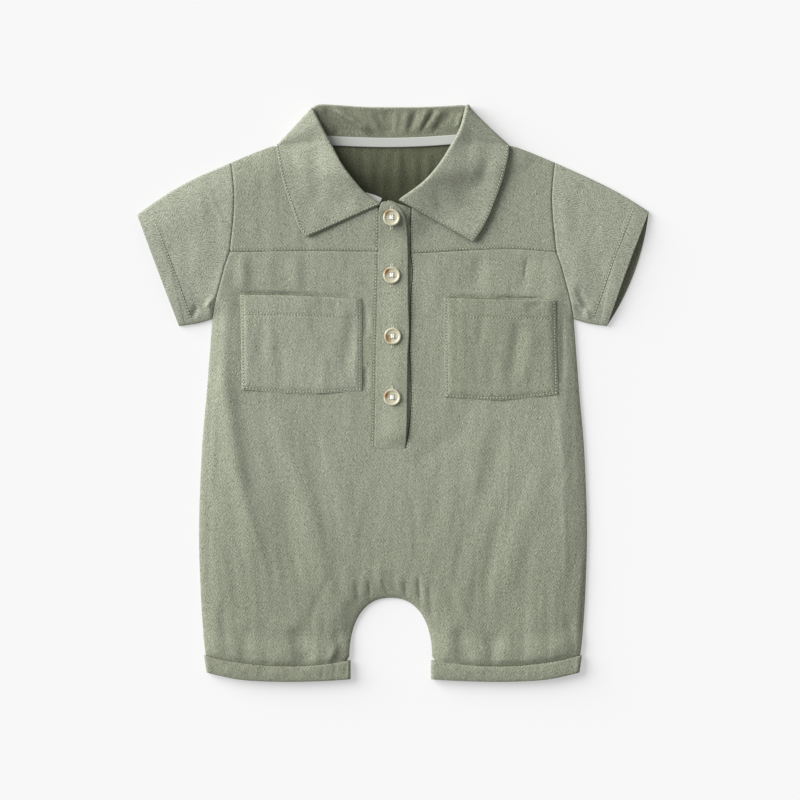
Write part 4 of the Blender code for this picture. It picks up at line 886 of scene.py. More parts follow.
def strip_shade(x, y):
    """Painted shade: dark under the buttons, where it shows only through their holes."""
    away = np.min([np.hypot(x - cx * MM, y - cy * MM) for cx, cy in BUTTON_PLACES], 0)
    return np.where(away < HOLE_SHADE_RADIUS, HOLE_SHADE, 1)


def strip_edge_at(y):
    line = table_line(STRIP_RIGHT, COARSE)
    return np.interp(y, line[:, 1], line[:, 0])


def underlap_face(x, y):
    """The underlap sinks beside the strip's free edge, so that a dark gap shows there."""
    past = (x - strip_edge_at(y) + UNDERLAP_SINK_WIDTH / 2) / UNDERLAP_SINK_WIDTH
    sink = UNDERLAP_SINK * smooth(past) * smooth((y - UNDERLAP_BOTTOM) / UNDERLAP_SINK_RAMP)
    return front_under(x, y) + CLOTH + 0.3 * crinkle(x, y) - UNDERLAP_DROP - sink


def underlap_shade(x, y):
    """Painted shade, a little darker close beside the strip's edge, and painted light a little further off.
    """
    past = (x - strip_edge_at(y) - 0.4 * MM) / UNDERLAP_SHADE_WIDTH
    return UNDERLAP_SHADE + UNDERLAP_LIGHTER * smooth(past)


def pocket_face(x, y):
    mouth, low = POCKETS[LEFT][1][1] * MM, POCKETS[LEFT][4][1] * MM
    middle = [row[1][0] * MM for row in (POCKETS[LEFT], POCKETS[RIGHT])]
    centred = np.max([1 - ((x - m) / POCKET_HALF) ** 2 for m in middle], 0)
    gape = POCKET_GAPE * np.clip(centred, 0, 1) * smooth((y - low) / (mouth - low) * 1.6 - 0.6)
    sewn = np.min([distance_to(x, y, pocket_sides(side)) for side in (LEFT, RIGHT)], 0)
    sink = POCKET_SINK * (1 - smooth(sewn / POCKET_SINK_WIDTH))
    crumple = folds(x, y, POCKET_FOLDS) + POCKET_CRINKLE * crinkle(x + POCKET_CRINKLE_SHIFT, y)
    return front_under(x, y) + CLOTH + crumple + SEAM + SHELL + POCKET_STAND + gape - sink


def pocket_sides(side):
    """The sides and the bottom of a pocket, along which it is sewn."""
    corners = np.array(POCKETS[side], float) * MM
    return np.vstack([corners[0], spline(corners[[5, 4, 3]], COARSE), corners[2]])


def pocket_hem(side):
    corners = np.array(POCKETS[side], float) * MM
    line = spline(corners[:3]) - (0, POCKET_HEM_DEPTH[side])
    return line[2:-2]


def pocket_edges(side):
    """Stitch rows round a pocket: down one side, along the bottom and up the other."""
    corners = inset(np.array(POCKETS[side], float)[::-1] * MM, EDGE_STITCH)[::-1]
    left, right = straight(corners[5], corners[0]), straight(corners[3], corners[2])
    return [left, spline(corners[[5, 4, 3]]), right]


def sleeve_lines(side):
    armhole = spline(mirrored(ARMHOLE, side)) + (side * 2 * SEWN_TUCK, 0)
    top, under = (spline(mirrored(points, side)) for points in (SLEEVE_TOP[side], SLEEVE_UNDER))
    top[0], under[0] = armhole[0], armhole[-1]
    opening = spline([top[-1], (top[-1] + under[-1]) / 2 - (side * SLEEVE_HEM_DIP, 0), under[-1]])
    return armhole, opening, top, under


def sleeve_hem_line(side):
    """The stitch row of a sleeve's hem, on its upper layer."""
    opening = sleeve_lines(side)[1]
    away = np.array(SLEEVE_WAY) * (side, 1)
    return (opening - away * SLEEVE_HEM_DEPTH[side])[2:-2]


def make_sleeve(side, word, material):
    lines = sleeve_lines(side)
    length = np.linalg.norm(middle_of(lines[1]) - middle_of(lines[0]))
    hem_share = 1 - SLEEVE_HEM_DEPTH[side] / length
    dense = hem_share + HEM_STEPS / length
    even = np.linspace(0, 1, round(length / SLEEVE_PITCH))
    even = even[np.abs(even - hem_share) > HEM_CLEAR / length]
    tips = OPENING_STEPS / length
    lengths = np.sort(np.concatenate([even, dense, tips, 1 - tips]))
    hem_line = [sleeve_hem_line(side)]
    seam = [ARMHOLE_SEAMS[side]]

    def top_of(x, y, s):
        hem = HEM_RISE * smooth((s - hem_share) * length / HEM_RISE_WIDTH)
        pressed = OPENING_PRESS * np.exp(-(((1 - s) * length / OPENING_WIDTH) ** 2))
        z = front_face(x, y) + hem - pressed
        return z - grooves(x, y, seam, DITCH_DEPTH, DITCH_WIDTH) - grooves(x, y, hem_line)

    return tube_piece(f"sleeve_{word}_cloth", f"sleeve_{word}", lines, lengths, top_of, material,
                      gape=SLEEVE_GAPE[side], grain=side * SLEEVE_GRAIN, sewn_bulge=0.1)


def make_cuff(side, word, material):
    top, bottom = (spline(line) for line in cuff_outline(side))
    ends = [np.array([top[k], bottom[k]]) for k in (0, -1)]
    lengths = np.concatenate([[0, 0.03, 0.08], np.linspace(0.16, 0.84, 7), [0.92, 0.97, 1]])

    def top_of(x, y, s):
        bulge = CUFF_BULGE * math.sqrt(max(0.0, math.sin(math.pi * s)))
        crumple = ripples(x, y, CUFF_CRUMPLE) + folds(x, y, CUFF_CREASES[side])
        return front_under(x, y) + LAYER + CLOTH + bulge + crumple * smooth(4 * min(s, 1 - s))

    return tube_piece(f"cuff_{word}_cloth", f"cuff_{word}", (top, bottom, *ends), lengths, top_of, material,
                      gape=0.0, grain=0.0, sewn_bulge=1.0)


# ---------------------------------------------------------------- collar
def collar_stations():
    """Sections round the neck, each with its turn: 0 on the front, half a circle on the back."""
    fronts = {}
    for side, rows in ((LEFT, COLLAR_LEFT), (RIGHT, COLLAR_RIGHT)):
        rows = spline([*rows, COLLAR_CREASE[side]], count=FRONT_STATIONS)
        fronts[side] = [(row, 0.0, side) for row in rows[:-1]]
    turns = np.linspace(0, math.pi, CREASE_STATIONS + 1)
    stations = fronts[LEFT] + [(COLLAR_CREASE[LEFT], turn, LEFT) for turn in turns]
    stations += [(row, math.pi, LEFT) for row in spline(BACK_ROWS, count=BACK_STATIONS)[1:-1]]
    stations += [(COLLAR_CREASE[RIGHT], turn, RIGHT) for turn in turns[::-1]]
    return stations + fronts[RIGHT][::-1]


def leaf_middle(x, y, share, side, turn):
    """Height of the middle of the collar's fall where it lies on the front."""
    roll = LEAF_ROLL[side] * (1 - share) ** 1.5 * smooth((y - LEAF_ROLL_Y) / NECK_SLOPE)
    lift = (LEAF_LIFT[side] * smooth(share) + roll) * (1 - smooth(turn))
    crease = folds(x, y, LEAF_CREASES) + 0.6 * crinkle(x, y)
    return front_under(x, y) + CLOTH + REST + lift + CLOTH / 2 + crease * smooth(share * 8)


def swung(plan, top, low, turn, side, along):
    """Points turned about the middle of two heights: at the upper for 0, at the lower for half a circle."""
    outward = np.array([along[1], -along[0]]) * -side
    radius, middle = (top - low) / 2, (top + low) / 2
    moved = plan + outward * (np.minimum(radius, LEAF_TIP[side]) * math.sin(turn))[:, None]
    return np.column_stack([moved, middle + radius * math.cos(turn)])


def collar_section(row, turn, side):
    """The middle of the cloth from the fall's edge up to the fold, round it and down the stand."""
    at = dict(zip(SECTION_COLUMNS, np.array(row, float) * MM))
    fold, edge, seam = (np.array([at[key + "_x"], at[key + "_y"]]) for key in ("fold", "edge", "seam"))
    out, down = (v / np.linalg.norm(v) for v in (edge - fold, seam - fold))
    bend, half = (LAYER + CLOTH) / 2, CLOTH / 2
    steps = np.linspace(0, 1, FALL_STEPS - len(LEAF_STEPS))
    close = LEAF_STEPS / np.linalg.norm(edge - fold)
    share = np.sort(np.concatenate([steps[:-1], [1], 1 - close]))[::-1]
    bow = np.array([out[1], -out[0]]) * side * at["bow"]
    start = fold + out * bend
    swell = 2.5 * share**0.5 * (1 - share) ** 0.9
    plan = start + (edge - start) * share[:, None] + bow * swell[:, None]
    x, y = plan.T
    fall = swung(plan, leaf_middle(x, y, share, side, turn), np.full_like(x, half), turn, side, out)
    share = np.linspace(0, 1, STAND_STEPS + 1)[:, None]
    start = fold + down * bend
    plan = start + (seam - start) * share
    x, y = plan.T
    crumple = np.zeros_like(x)
    if turn > 0:
        on_back = smooth((turn - BACK_TURN) / BACK_TURN_RAMP)
        ends = smooth(share[:, 0] * 5) * smooth((1 - share[:, 0]) * 6) * on_back
        crumple = folds(x, y, STAND_FOLDS) + (folds(x, y, STAND_CREASES) + 0.4 * crinkle(x, y)) * ends
        crumple = np.maximum(STAND_LOFT + STAND_FULLNESS * crumple, 0) * on_back
    stand = swung(plan, front_under(x, y) + half, LAYER + half + crumple, turn, side, down)
    centre, arm = (fall[-1] + stand[0]) / 2, (fall[-1] - stand[0]) / 2
    tip = np.append(-(out + down) / np.linalg.norm(out + down), 0) * min(np.linalg.norm(arm), LEAF_TIP[side])
    angles = np.linspace(0, math.pi, BEND_STEPS + 1)[1:-1]
    return np.vstack([fall, [centre + arm * math.cos(a) + tip * math.sin(a) for a in angles], stand])


def collar_grid():
    """Middle points of the collar's cloth, their normals, and distances down and round it."""
    middle = np.array([collar_section(*station) for station in collar_stations()])
    normal = np.cross(np.gradient(middle, axis=0), np.gradient(middle, axis=1))
    normal /= np.linalg.norm(normal, axis=2)[:, :, None]
    across = np.linalg.norm(np.diff(middle, axis=1), axis=2)
    down = np.concatenate([np.zeros((len(middle), 1)), np.cumsum(across, 1)], 1)
    along = np.linalg.norm(np.diff(middle, axis=0), axis=2)
    round_it = np.concatenate([np.zeros((1, middle.shape[1])), np.cumsum(along, 0)], 0)
    return middle, normal, down, round_it


def collar_half(edge):
    """Half the collar's thickness: rounded at its edge and drawn in under its stitch row."""
    half = CLOTH / 2 * quarter_round(edge, FREE_ROUND * 1.3)
    half -= ROW_DEPTH * np.exp(-(((edge - EDGE_STITCH) / GROOVE_WIDTH) ** 2))
    return np.where(edge < 1e-7, 0, np.maximum(half, THINNEST))


def make_collar(material):
    middle, normal, down, round_it = collar_grid()
    edge = np.minimum(np.minimum(down, down[:, -1:] - down), np.minimum(round_it, round_it[-1:] - round_it))
    half = collar_half(edge)
    top, low = (middle + normal * (half * way)[:, :, None] for way in (1, -1))
    index = np.arange(edge.size).reshape(edge.shape)
    inner = np.flatnonzero(edge > 1e-7)
    under = index.ravel().copy()
    under[inner] = edge.size + np.arange(len(inner))
    quads = []
    for grid, way in ((index, 1), (under.reshape(edge.shape), -1)):
        corners = (grid[:-1, :-1], grid[1:, :-1], grid[1:, 1:], grid[:-1, 1:])[::way]
        quads.append(np.stack(corners, -1).reshape(-1, 4))
    uv = np.stack([round_it * 0.9, down], -1).reshape(-1, 2)
    verts = np.vstack([top.reshape(-1, 3), low.reshape(-1, 3)[inner]])
    turns = np.array([turn for _, turn, _ in collar_stations()])
    # painted shade on the collar's stand where it lies on the back
    shade = np.ones(edge.shape)
    shade[:, FALL_STEPS + BEND_STEPS - 1:] = 1 - (1 - STAND_SHADE) * smooth(turns - 2)[:, None]
    shade = shade.ravel()
    mesh = closed_mesh("collar_cloth", "collar", verts, np.vstack(quads), np.vstack([uv, uv[inner]]),
                       np.concatenate([shade, shade[inner]]))
    return show("collar_cloth", mesh, material, "collar")


def collar_rows():
    """The stitch row round both leaves, on the face that shows: up a front edge, then along the outer."""
    middle, _, down, round_it = collar_grid()
    rows = []
    fronts = [i for i, (_, turn, _) in enumerate(collar_stations()) if turn == 0]
    left = [i for i in fronts if i < len(middle) // 2]
    right = [i for i in fronts if i > len(middle) // 2][::-1]
    for stations in (left, right):
        far = np.abs(round_it - round_it[stations[0]])
        past = [i for i in stations if far[i, 0] > EDGE_STITCH]
        outer = [at_depth(middle[i], down[i], EDGE_STITCH) for i in past]
        below = [j for j in range(1, FALL_STEPS - 1) if down[stations[0], j] > EDGE_STITCH]
        front = [at_depth(middle[stations, j], far[stations, j], EDGE_STITCH) for j in below]
        rows.append(np.array(front[::-1] + outer))
    return [row + (0, 0, CLOTH / 2 - 0.02 * MM) for row in rows]


def at_depth(points, distance, wanted):
    return np.array([np.interp(wanted, distance, points[:, k]) for k in range(3)])


# ---------------------------------------------------------------- materials
def new_material(name, roughness, **plain):
    """A material with its Principled shader, and values that are the same all over."""
    made = bpy.data.materials.new(name)
    made.use_nodes = True
    shader = made.node_tree.nodes["Principled BSDF"]
    shader.inputs["Roughness"].default_value = roughness
    for key, value in plain.items():
        shader.inputs[key.replace("_", " ")].default_value = value
    return made, made.node_tree, shader


def node(tree, kind, at=(0, 0), **settings):
    made = tree.nodes.new(kind)
    made.location = at
    for key, value in settings.items():
        setattr(made, key, value)
    return made


def link(tree, source, target):
    tree.links.new(source, target)


def group_of(name, inputs, outputs, kind="ShaderNodeTree"):
    """A node group with its named sockets, each with its kind."""
    group = bpy.data.node_groups.new(name, kind)
    for sockets, way in ((inputs, "INPUT"), (outputs, "OUTPUT")):
        for title, what in sockets.items():
            group.interface.new_socket(title, in_out=way, socket_type="NodeSocket" + what)
    kinds = ("NodeGroupInput", "NodeGroupOutput")
    return group, *(node(group, kind) for kind in kinds)


def stretched_noise(tree, vector, turn, size, detail=2.0):
    """Noise drawn out into strokes of this width and length in centimetres, turned by so many degrees."""
    mapping = node(tree, "ShaderNodeMapping", vector_type="TEXTURE")
    mapping.inputs["Rotation"].default_value = (0, 0, math.radians(turn))
    mapping.inputs["Scale"].default_value = (*size, 1)
    link(tree, vector, mapping.inputs["Vector"])
    noise = node(tree, "ShaderNodeTexNoise")
    noise.inputs["Scale"].default_value = 1
    noise.inputs["Detail"].default_value = detail
    link(tree, mapping.outputs["Vector"], noise.inputs["Vector"])
    return noise.outputs["Fac"]


def sum_of(tree, parts):
    """A weighted sum of values, each taken about 0.5."""
    total = None
    for source, weight in parts:
        add = node(tree, "ShaderNodeMath", operation="MULTIPLY_ADD")
        link(tree, source, add.inputs[0])
        add.inputs[1].default_value = weight
        if total is None:
            add.inputs[2].default_value = 0.5 - 0.5 * sum(w for _, w in parts)
        else:
            link(tree, total, add.inputs[2])
        total = add.outputs[0]
    return total


def blended(tree, share, first, second, data_type="FLOAT"):
    """A mix of two values or two colours."""
    kind = {"FLOAT": "VALUE", "RGBA": "RGBA"}[data_type]
    mix = node(tree, "ShaderNodeMix", data_type=data_type, clamp_factor=True)
    link(tree, share, mix.inputs[0])
    ends = [socket for socket in mix.inputs[1:] if socket.type == kind and socket.enabled]
    for source, target in zip((first, second), ends):
        link(tree, source, target)
    return [socket for socket in mix.outputs if socket.type == kind and socket.enabled][0]


def spread(tree, value, low, high, to_low=0.0, to_high=1.0):
    """A value stretched from one range to another."""
    ranged = node(tree, "ShaderNodeMapRange")
    for title, number in (("From Min", low), ("From Max", high), ("To Min", to_low), ("To Max", to_high)):
        ranged.inputs[title].default_value = number
    link(tree, value, ranged.inputs["Value"])
    return ranged.outputs[0]


def times(tree, colour, share):
    """A colour made darker by a value."""
    scale = node(tree, "ShaderNodeVectorMath", operation="SCALE")
    link(tree, colour, scale.inputs[0])
    link(tree, share, scale.inputs["Scale"])
    return scale.outputs[0]


def bands(tree, vector, turn, pitch, wander):
    """Soft lines this many centimetres apart, turned by so many degrees, that wander from straight."""
    mapping = node(tree, "ShaderNodeMapping", vector_type="TEXTURE")
    mapping.inputs["Rotation"].default_value = (0, 0, math.radians(turn))
    link(tree, vector, mapping.inputs["Vector"])
    wave = node(tree, "ShaderNodeTexWave", wave_type="BANDS", bands_direction="X")
    wave.inputs["Scale"].default_value = math.pi / 10 / pitch
    wave.inputs["Distortion"].default_value = wander
    wave.inputs["Detail"].default_value = 1
    wave.inputs["Detail Scale"].default_value = 1.6
    link(tree, mapping.outputs["Vector"], wave.inputs["Vector"])
    return wave.outputs["Fac"]


def weave_group():
    """Crepe-like slub cotton: crossing twill lines and strokes, streaks down the grain and the threads."""
    inputs = {"Grain": "Vector", "Light": "Color", "Dark": "Color", "Shade": "Float"}
    outputs = {"Colour": "Color", "Height": "Float", "Roughness": "Float"}
    group, inside, outside = group_of("slub_weave", inputs, outputs)
    grain = inside.outputs["Grain"]
    ways = (-HATCH_TURN, HATCH_TURN)
    patches = spread(group, stretched_noise(group, grain, 20, PATCH_SIZE), 0.42, 0.58)
    twill = blended(group, patches, *(bands(group, grain, turn, TWILL_PITCH, 5) for turn in ways))
    strokes = blended(group, patches, *(stretched_noise(group, grain, turn, STROKE_SIZE, 1) for turn in ways))
    streaks = stretched_noise(group, grain, 0, STREAK_SIZE, 3)
    speckle = stretched_noise(group, grain, 0, SPECKLE_SIZE, 1)
    warp = stretched_noise(group, grain, 0, THREAD_SIZE, 1)
    parts = (twill, strokes, streaks, speckle, warp)
    colour, height = (sum_of(group, list(zip(parts, shares))) for shares in (COLOUR_SHARES, HEIGHT_SHARES))
    dyed = blended(group, colour, inside.outputs["Dark"], inside.outputs["Light"], "RGBA")
    # painted shade: the colour is multiplied by the shade attribute, blue more than the rest
    deep = node(group, "ShaderNodeMath", operation="POWER")
    deep.inputs[1].default_value = PAINTED_SHADE_BLUE_POWER
    link(group, inside.outputs["Shade"], deep.inputs[0])
    painted_shade_tint = node(group, "ShaderNodeCombineXYZ")
    for target, source in zip("XYZ", (inside.outputs["Shade"], inside.outputs["Shade"], deep.outputs[0])):
        link(group, source, painted_shade_tint.inputs[target])
    shaded = node(group, "ShaderNodeVectorMath", operation="MULTIPLY")
    link(group, dyed, shaded.inputs[0])
    link(group, painted_shade_tint.outputs["Vector"], shaded.inputs[1])
    link(group, shaded.outputs["Vector"], outside.inputs["Colour"])
    link(group, height, outside.inputs["Height"])
    link(group, spread(group, height, 0, 1, 0.96, 0.84), outside.inputs["Roughness"])
    return group


def bumped(tree, height, shader, strength, distance):
    bump = node(tree, "ShaderNodeBump")
    bump.inputs["Strength"].default_value = strength
    bump.inputs["Distance"].default_value = distance
    link(tree, height, bump.inputs["Height"])
    link(tree, bump.outputs["Normal"], shader.inputs["Normal"])


def cotton_material():
    made, tree, shader = new_material("sage_slub_cotton", 0.9, Sheen_Weight=0.1, Specular_IOR_Level=0.2)
    grain = node(tree, "ShaderNodeUVMap", uv_map="grain")
    # the painted light and shade of each point
    shade = node(tree, "ShaderNodeAttribute", attribute_name="shade")
    weave = node(tree, "ShaderNodeGroup", node_tree=weave_group())
    weave.inputs["Light"].default_value, weave.inputs["Dark"].default_value = SAGE_LIGHT, SAGE_DARK
    link(tree, grain.outputs["UV"], weave.inputs["Grain"])
    link(tree, shade.outputs["Fac"], weave.inputs["Shade"])
    link(tree, weave.outputs["Colour"], shader.inputs["Base Color"])
    link(tree, weave.outputs["Roughness"], shader.inputs["Roughness"])
    bumped(tree, weave.outputs["Height"], shader, 0.8, 0.3 * MM)
    return made


def spun_group():
    """Spun thread: lighter and darker lengths, and the twist of its fibres."""
    inputs = {"Place": "Vector", "Colour": "Color"}
    group, inside, outside = group_of("spun_thread", inputs, {"Colour": "Color", "Height": "Float"})
    noise = node(group, "ShaderNodeTexNoise")
    noise.inputs["Scale"].default_value = THREAD_GRAIN
    link(group, inside.outputs["Place"], noise.inputs["Vector"])
    tone = spread(group, noise.outputs["Fac"], 0.3, 0.7, 0.78, 1.18)
    link(group, times(group, inside.outputs["Colour"], tone), outside.inputs["Colour"])
    link(group, noise.outputs["Fac"], outside.inputs["Height"])
    return group


def thread_material(name, colour, group):
    made, tree, shader = new_material(name, 0.8, Sheen_Weight=0.2)
    place = node(tree, "ShaderNodeTexCoord")
    spun = node(tree, "ShaderNodeGroup", node_tree=group)
    spun.inputs["Colour"].default_value = colour
    link(tree, place.outputs["Object"], spun.inputs["Place"])
    link(tree, spun.outputs["Colour"], shader.inputs["Base Color"])
    bumped(tree, spun.outputs["Height"], shader, 0.4, 0.08 * MM)
    return made


def tape_material():
    """White twill tape."""
    made, tree, shader = new_material("white_twill_tape", 0.85, Sheen_Weight=0.1)
    place = node(tree, "ShaderNodeTexCoord")
    wave = node(tree, "ShaderNodeTexWave", wave_type="BANDS", bands_direction="DIAGONAL")
    wave.inputs["Scale"].default_value = TAPE_GRAIN
    wave.inputs["Distortion"].default_value = 0.6
    link(tree, place.outputs["Object"], wave.inputs["Vector"])
    ramp = node(tree, "ShaderNodeValToRGB")
    ramp.color_ramp.elements[0].color = (*(TAPE_DIM * c for c in TAPE_COLOUR[:3]), 1)
    ramp.color_ramp.elements[1].color = TAPE_COLOUR
    link(tree, wave.outputs["Fac"], ramp.inputs["Fac"])
    link(tree, ramp.outputs["Color"], shader.inputs["Base Color"])
    bumped(tree, wave.outputs["Fac"], shader, 0.5, 0.15 * MM)
    return made


def horn_group():
    """Cream horn with a brown patch that fades into it, on places measured in button radii."""
    inputs = {"Place": "Vector", "Patch": "Vector", "Grain": "Float", "Cream": "Color", "Amber": "Color"}
    group, inside, outside = group_of("marbled_horn", inputs, {"Colour": "Color", "Roughness": "Float"})
    noise = node(group, "ShaderNodeTexNoise")
    noise.inputs["Detail"].default_value = 3
    link(group, inside.outputs["Place"], noise.inputs["Vector"])
    link(group, inside.outputs["Grain"], noise.inputs["Scale"])
    flat = node(group, "ShaderNodeVectorMath", operation="MULTIPLY")
    flat.inputs[1].default_value = (1, 1, 0)
    link(group, inside.outputs["Place"], flat.inputs[0])
    away = node(group, "ShaderNodeVectorMath", operation="DISTANCE")
    link(group, flat.outputs[0], away.inputs[0])
    link(group, inside.outputs["Patch"], away.inputs[1])
    edge = node(group, "ShaderNodeMath", operation="MULTIPLY_ADD")
    edge.inputs[1].default_value = 0.9
    link(group, noise.outputs["Fac"], edge.inputs[0])
    link(group, away.outputs["Value"], edge.inputs[2])
    share = spread(group, edge.outputs[0], 0.62, 1.0)
    link(group, blended(group, share, inside.outputs["Amber"], inside.outputs["Cream"], "RGBA"),
         outside.inputs["Colour"])
    link(group, spread(group, noise.outputs["Fac"], 0.3, 0.7, 0.26, 0.4), outside.inputs["Roughness"])
    return group


def horn_material(number, place, group):
    """Horn centred on its own button, with the brown patch where that button has it."""
    made, tree, shader = new_material(f"horn_{number}", 0.32, Coat_Weight=0.25, Coat_Roughness=0.2)
    coordinate = node(tree, "ShaderNodeTexCoord")
    centre = node(tree, "ShaderNodeMapping")
    centre.inputs["Location"].default_value = (-place[0] / BUTTON_RADIUS, -place[1] / BUTTON_RADIUS, 0)
    centre.inputs["Scale"].default_value = [1 / BUTTON_RADIUS] * 3
    link(tree, coordinate.outputs["Object"], centre.inputs["Vector"])
    horn = node(tree, "ShaderNodeGroup", node_tree=group)
    horn.inputs["Patch"].default_value = HORN_PATCHES[number - 1]
    horn.inputs["Grain"].default_value = 1.6 + 0.2 * number
    horn.inputs["Cream"].default_value, horn.inputs["Amber"].default_value = HORN_CREAM, HORN_BROWN
    link(tree, centre.outputs["Vector"], horn.inputs["Place"])
    link(tree, horn.outputs["Colour"], shader.inputs["Base Color"])
    link(tree, horn.outputs["Roughness"], shader.inputs["Roughness"])
    return made


# ---------------------------------------------------------------- stitches
def stitch_tree():
    """Small rounded bodies laid end to end along the edges of a mesh, or so far on from there."""
    sizes = ("Pitch", "Start", "Length", "Width", "Height", "Across")
    inputs = {"Paths": "Geometry", **{name: "Float" for name in sizes}, "Thread": "Material"}
    tree, inside, outside = group_of("stitches", inputs, {"Stitches": "Geometry"}, "GeometryNodeTree")
    curve = node(tree, "GeometryNodeMeshToCurve")
    link(tree, inside.outputs["Paths"], curve.inputs["Mesh"])
    even = node(tree, "GeometryNodeResampleCurve", mode="LENGTH")
    link(tree, curve.outputs["Curve"], even.inputs["Curve"])
    link(tree, inside.outputs["Pitch"], even.inputs["Length"])
    tangent = node(tree, "GeometryNodeInputTangent")
    step = node(tree, "ShaderNodeVectorMath", operation="SCALE")
    link(tree, tangent.outputs["Tangent"], step.inputs[0])
    link(tree, inside.outputs["Start"], step.inputs["Scale"])
    shifted = node(tree, "GeometryNodeSetPosition")
    link(tree, even.outputs["Curve"], shifted.inputs["Geometry"])
    link(tree, step.outputs["Vector"], shifted.inputs["Offset"])
    body = node(tree, "GeometryNodeMeshUVSphere")
    body.inputs["Segments"].default_value, body.inputs["Rings"].default_value = 6, 5
    body.inputs["Radius"].default_value = 0.5
    size = node(tree, "ShaderNodeCombineXYZ")
    for target, name in zip(("X", "Y", "Z"), ("Length", "Width", "Height")):
        link(tree, inside.outputs[name], size.inputs[target])
    shaped = node(tree, "GeometryNodeTransform")
    link(tree, body.outputs["Mesh"], shaped.inputs["Geometry"])
    link(tree, size.outputs["Vector"], shaped.inputs["Scale"])
    turn = node(tree, "FunctionNodeAlignEulerToVector", axis="X")
    link(tree, tangent.outputs["Tangent"], turn.inputs["Vector"])
    placed = node(tree, "GeometryNodeInstanceOnPoints")
    link(tree, shifted.outputs["Geometry"], placed.inputs["Points"])
    link(tree, shaped.outputs["Geometry"], placed.inputs["Instance"])
    link(tree, turn.outputs["Rotation"], placed.inputs["Rotation"])
    spin = node(tree, "ShaderNodeCombineXYZ")
    link(tree, inside.outputs["Across"], spin.inputs["Z"])
    turned = node(tree, "GeometryNodeRotateInstances")
    link(tree, placed.outputs["Instances"], turned.inputs["Instances"])
    link(tree, spin.outputs["Vector"], turned.inputs["Rotation"])
    soft = node(tree, "GeometryNodeSetShadeSmooth")
    link(tree, turned.outputs["Instances"], soft.inputs["Geometry"])
    real = node(tree, "GeometryNodeRealizeInstances")
    link(tree, soft.outputs["Geometry"], real.inputs["Geometry"])
    dyed = node(tree, "GeometryNodeSetMaterial")
    link(tree, real.outputs["Geometry"], dyed.inputs["Geometry"])
    link(tree, inside.outputs["Thread"], dyed.inputs["Material"])
    link(tree, dyed.outputs["Geometry"], outside.inputs["Stitches"])
    return tree


def path_mesh(name, paths):
    """Open paths of points as the edges of one mesh."""
    verts, edges = [], []
    for path in paths:
        first = len(verts)
        verts += [tuple(p) for p in path]
        edges += [(first + i, first + i + 1) for i in range(len(path) - 1)]
    mesh = bpy.data.meshes.new(name)
    mesh.from_pydata(verts, edges, [])
    return mesh


def laid(paths, face, lift):
    """Plan paths put on a face, at a height above it."""
    found = []
    for path in paths:
        path = np.asarray(path)
        travelled = np.concatenate([[0], np.cumsum(np.linalg.norm(np.diff(path, axis=0), axis=1))])
        even = np.arange(0, travelled[-1], 0.6 * MM)
        path = np.stack([np.interp(even, travelled, path[:, k]) for k in (0, 1)], 1)
        found.append(np.column_stack([path, face(path[:, 0], path[:, 1]) + lift]))
    return found


def stitches(name, paths, tree, thread, size=STITCH_SIZE, pitch=STITCH_PITCH, start=0.0, across=0.0):
    """Rows of stitches along paths, as one mesh."""
    source = bpy.data.objects.new(name + "_path", path_mesh(name, paths))
    bpy.context.scene.collection.objects.link(source)
    laying = source.modifiers.new("stitches", "NODES")
    laying.node_group = tree
    values = {"Pitch": pitch, "Start": start, "Across": across, "Thread": thread}
    values.update(zip(("Length", "Width", "Height"), size))
    for socket in tree.interface.items_tree:
        if socket.in_out == "INPUT" and socket.name in values:
            laying[socket.identifier] = values[socket.name]
    bpy.context.view_layer.update()
    graph = bpy.context.evaluated_depsgraph_get()
    mesh = bpy.data.meshes.new_from_object(source.evaluated_get(graph), depsgraph=graph)
    bpy.data.objects.remove(source)
    mesh.name = name
    return show(name, mesh, thread)


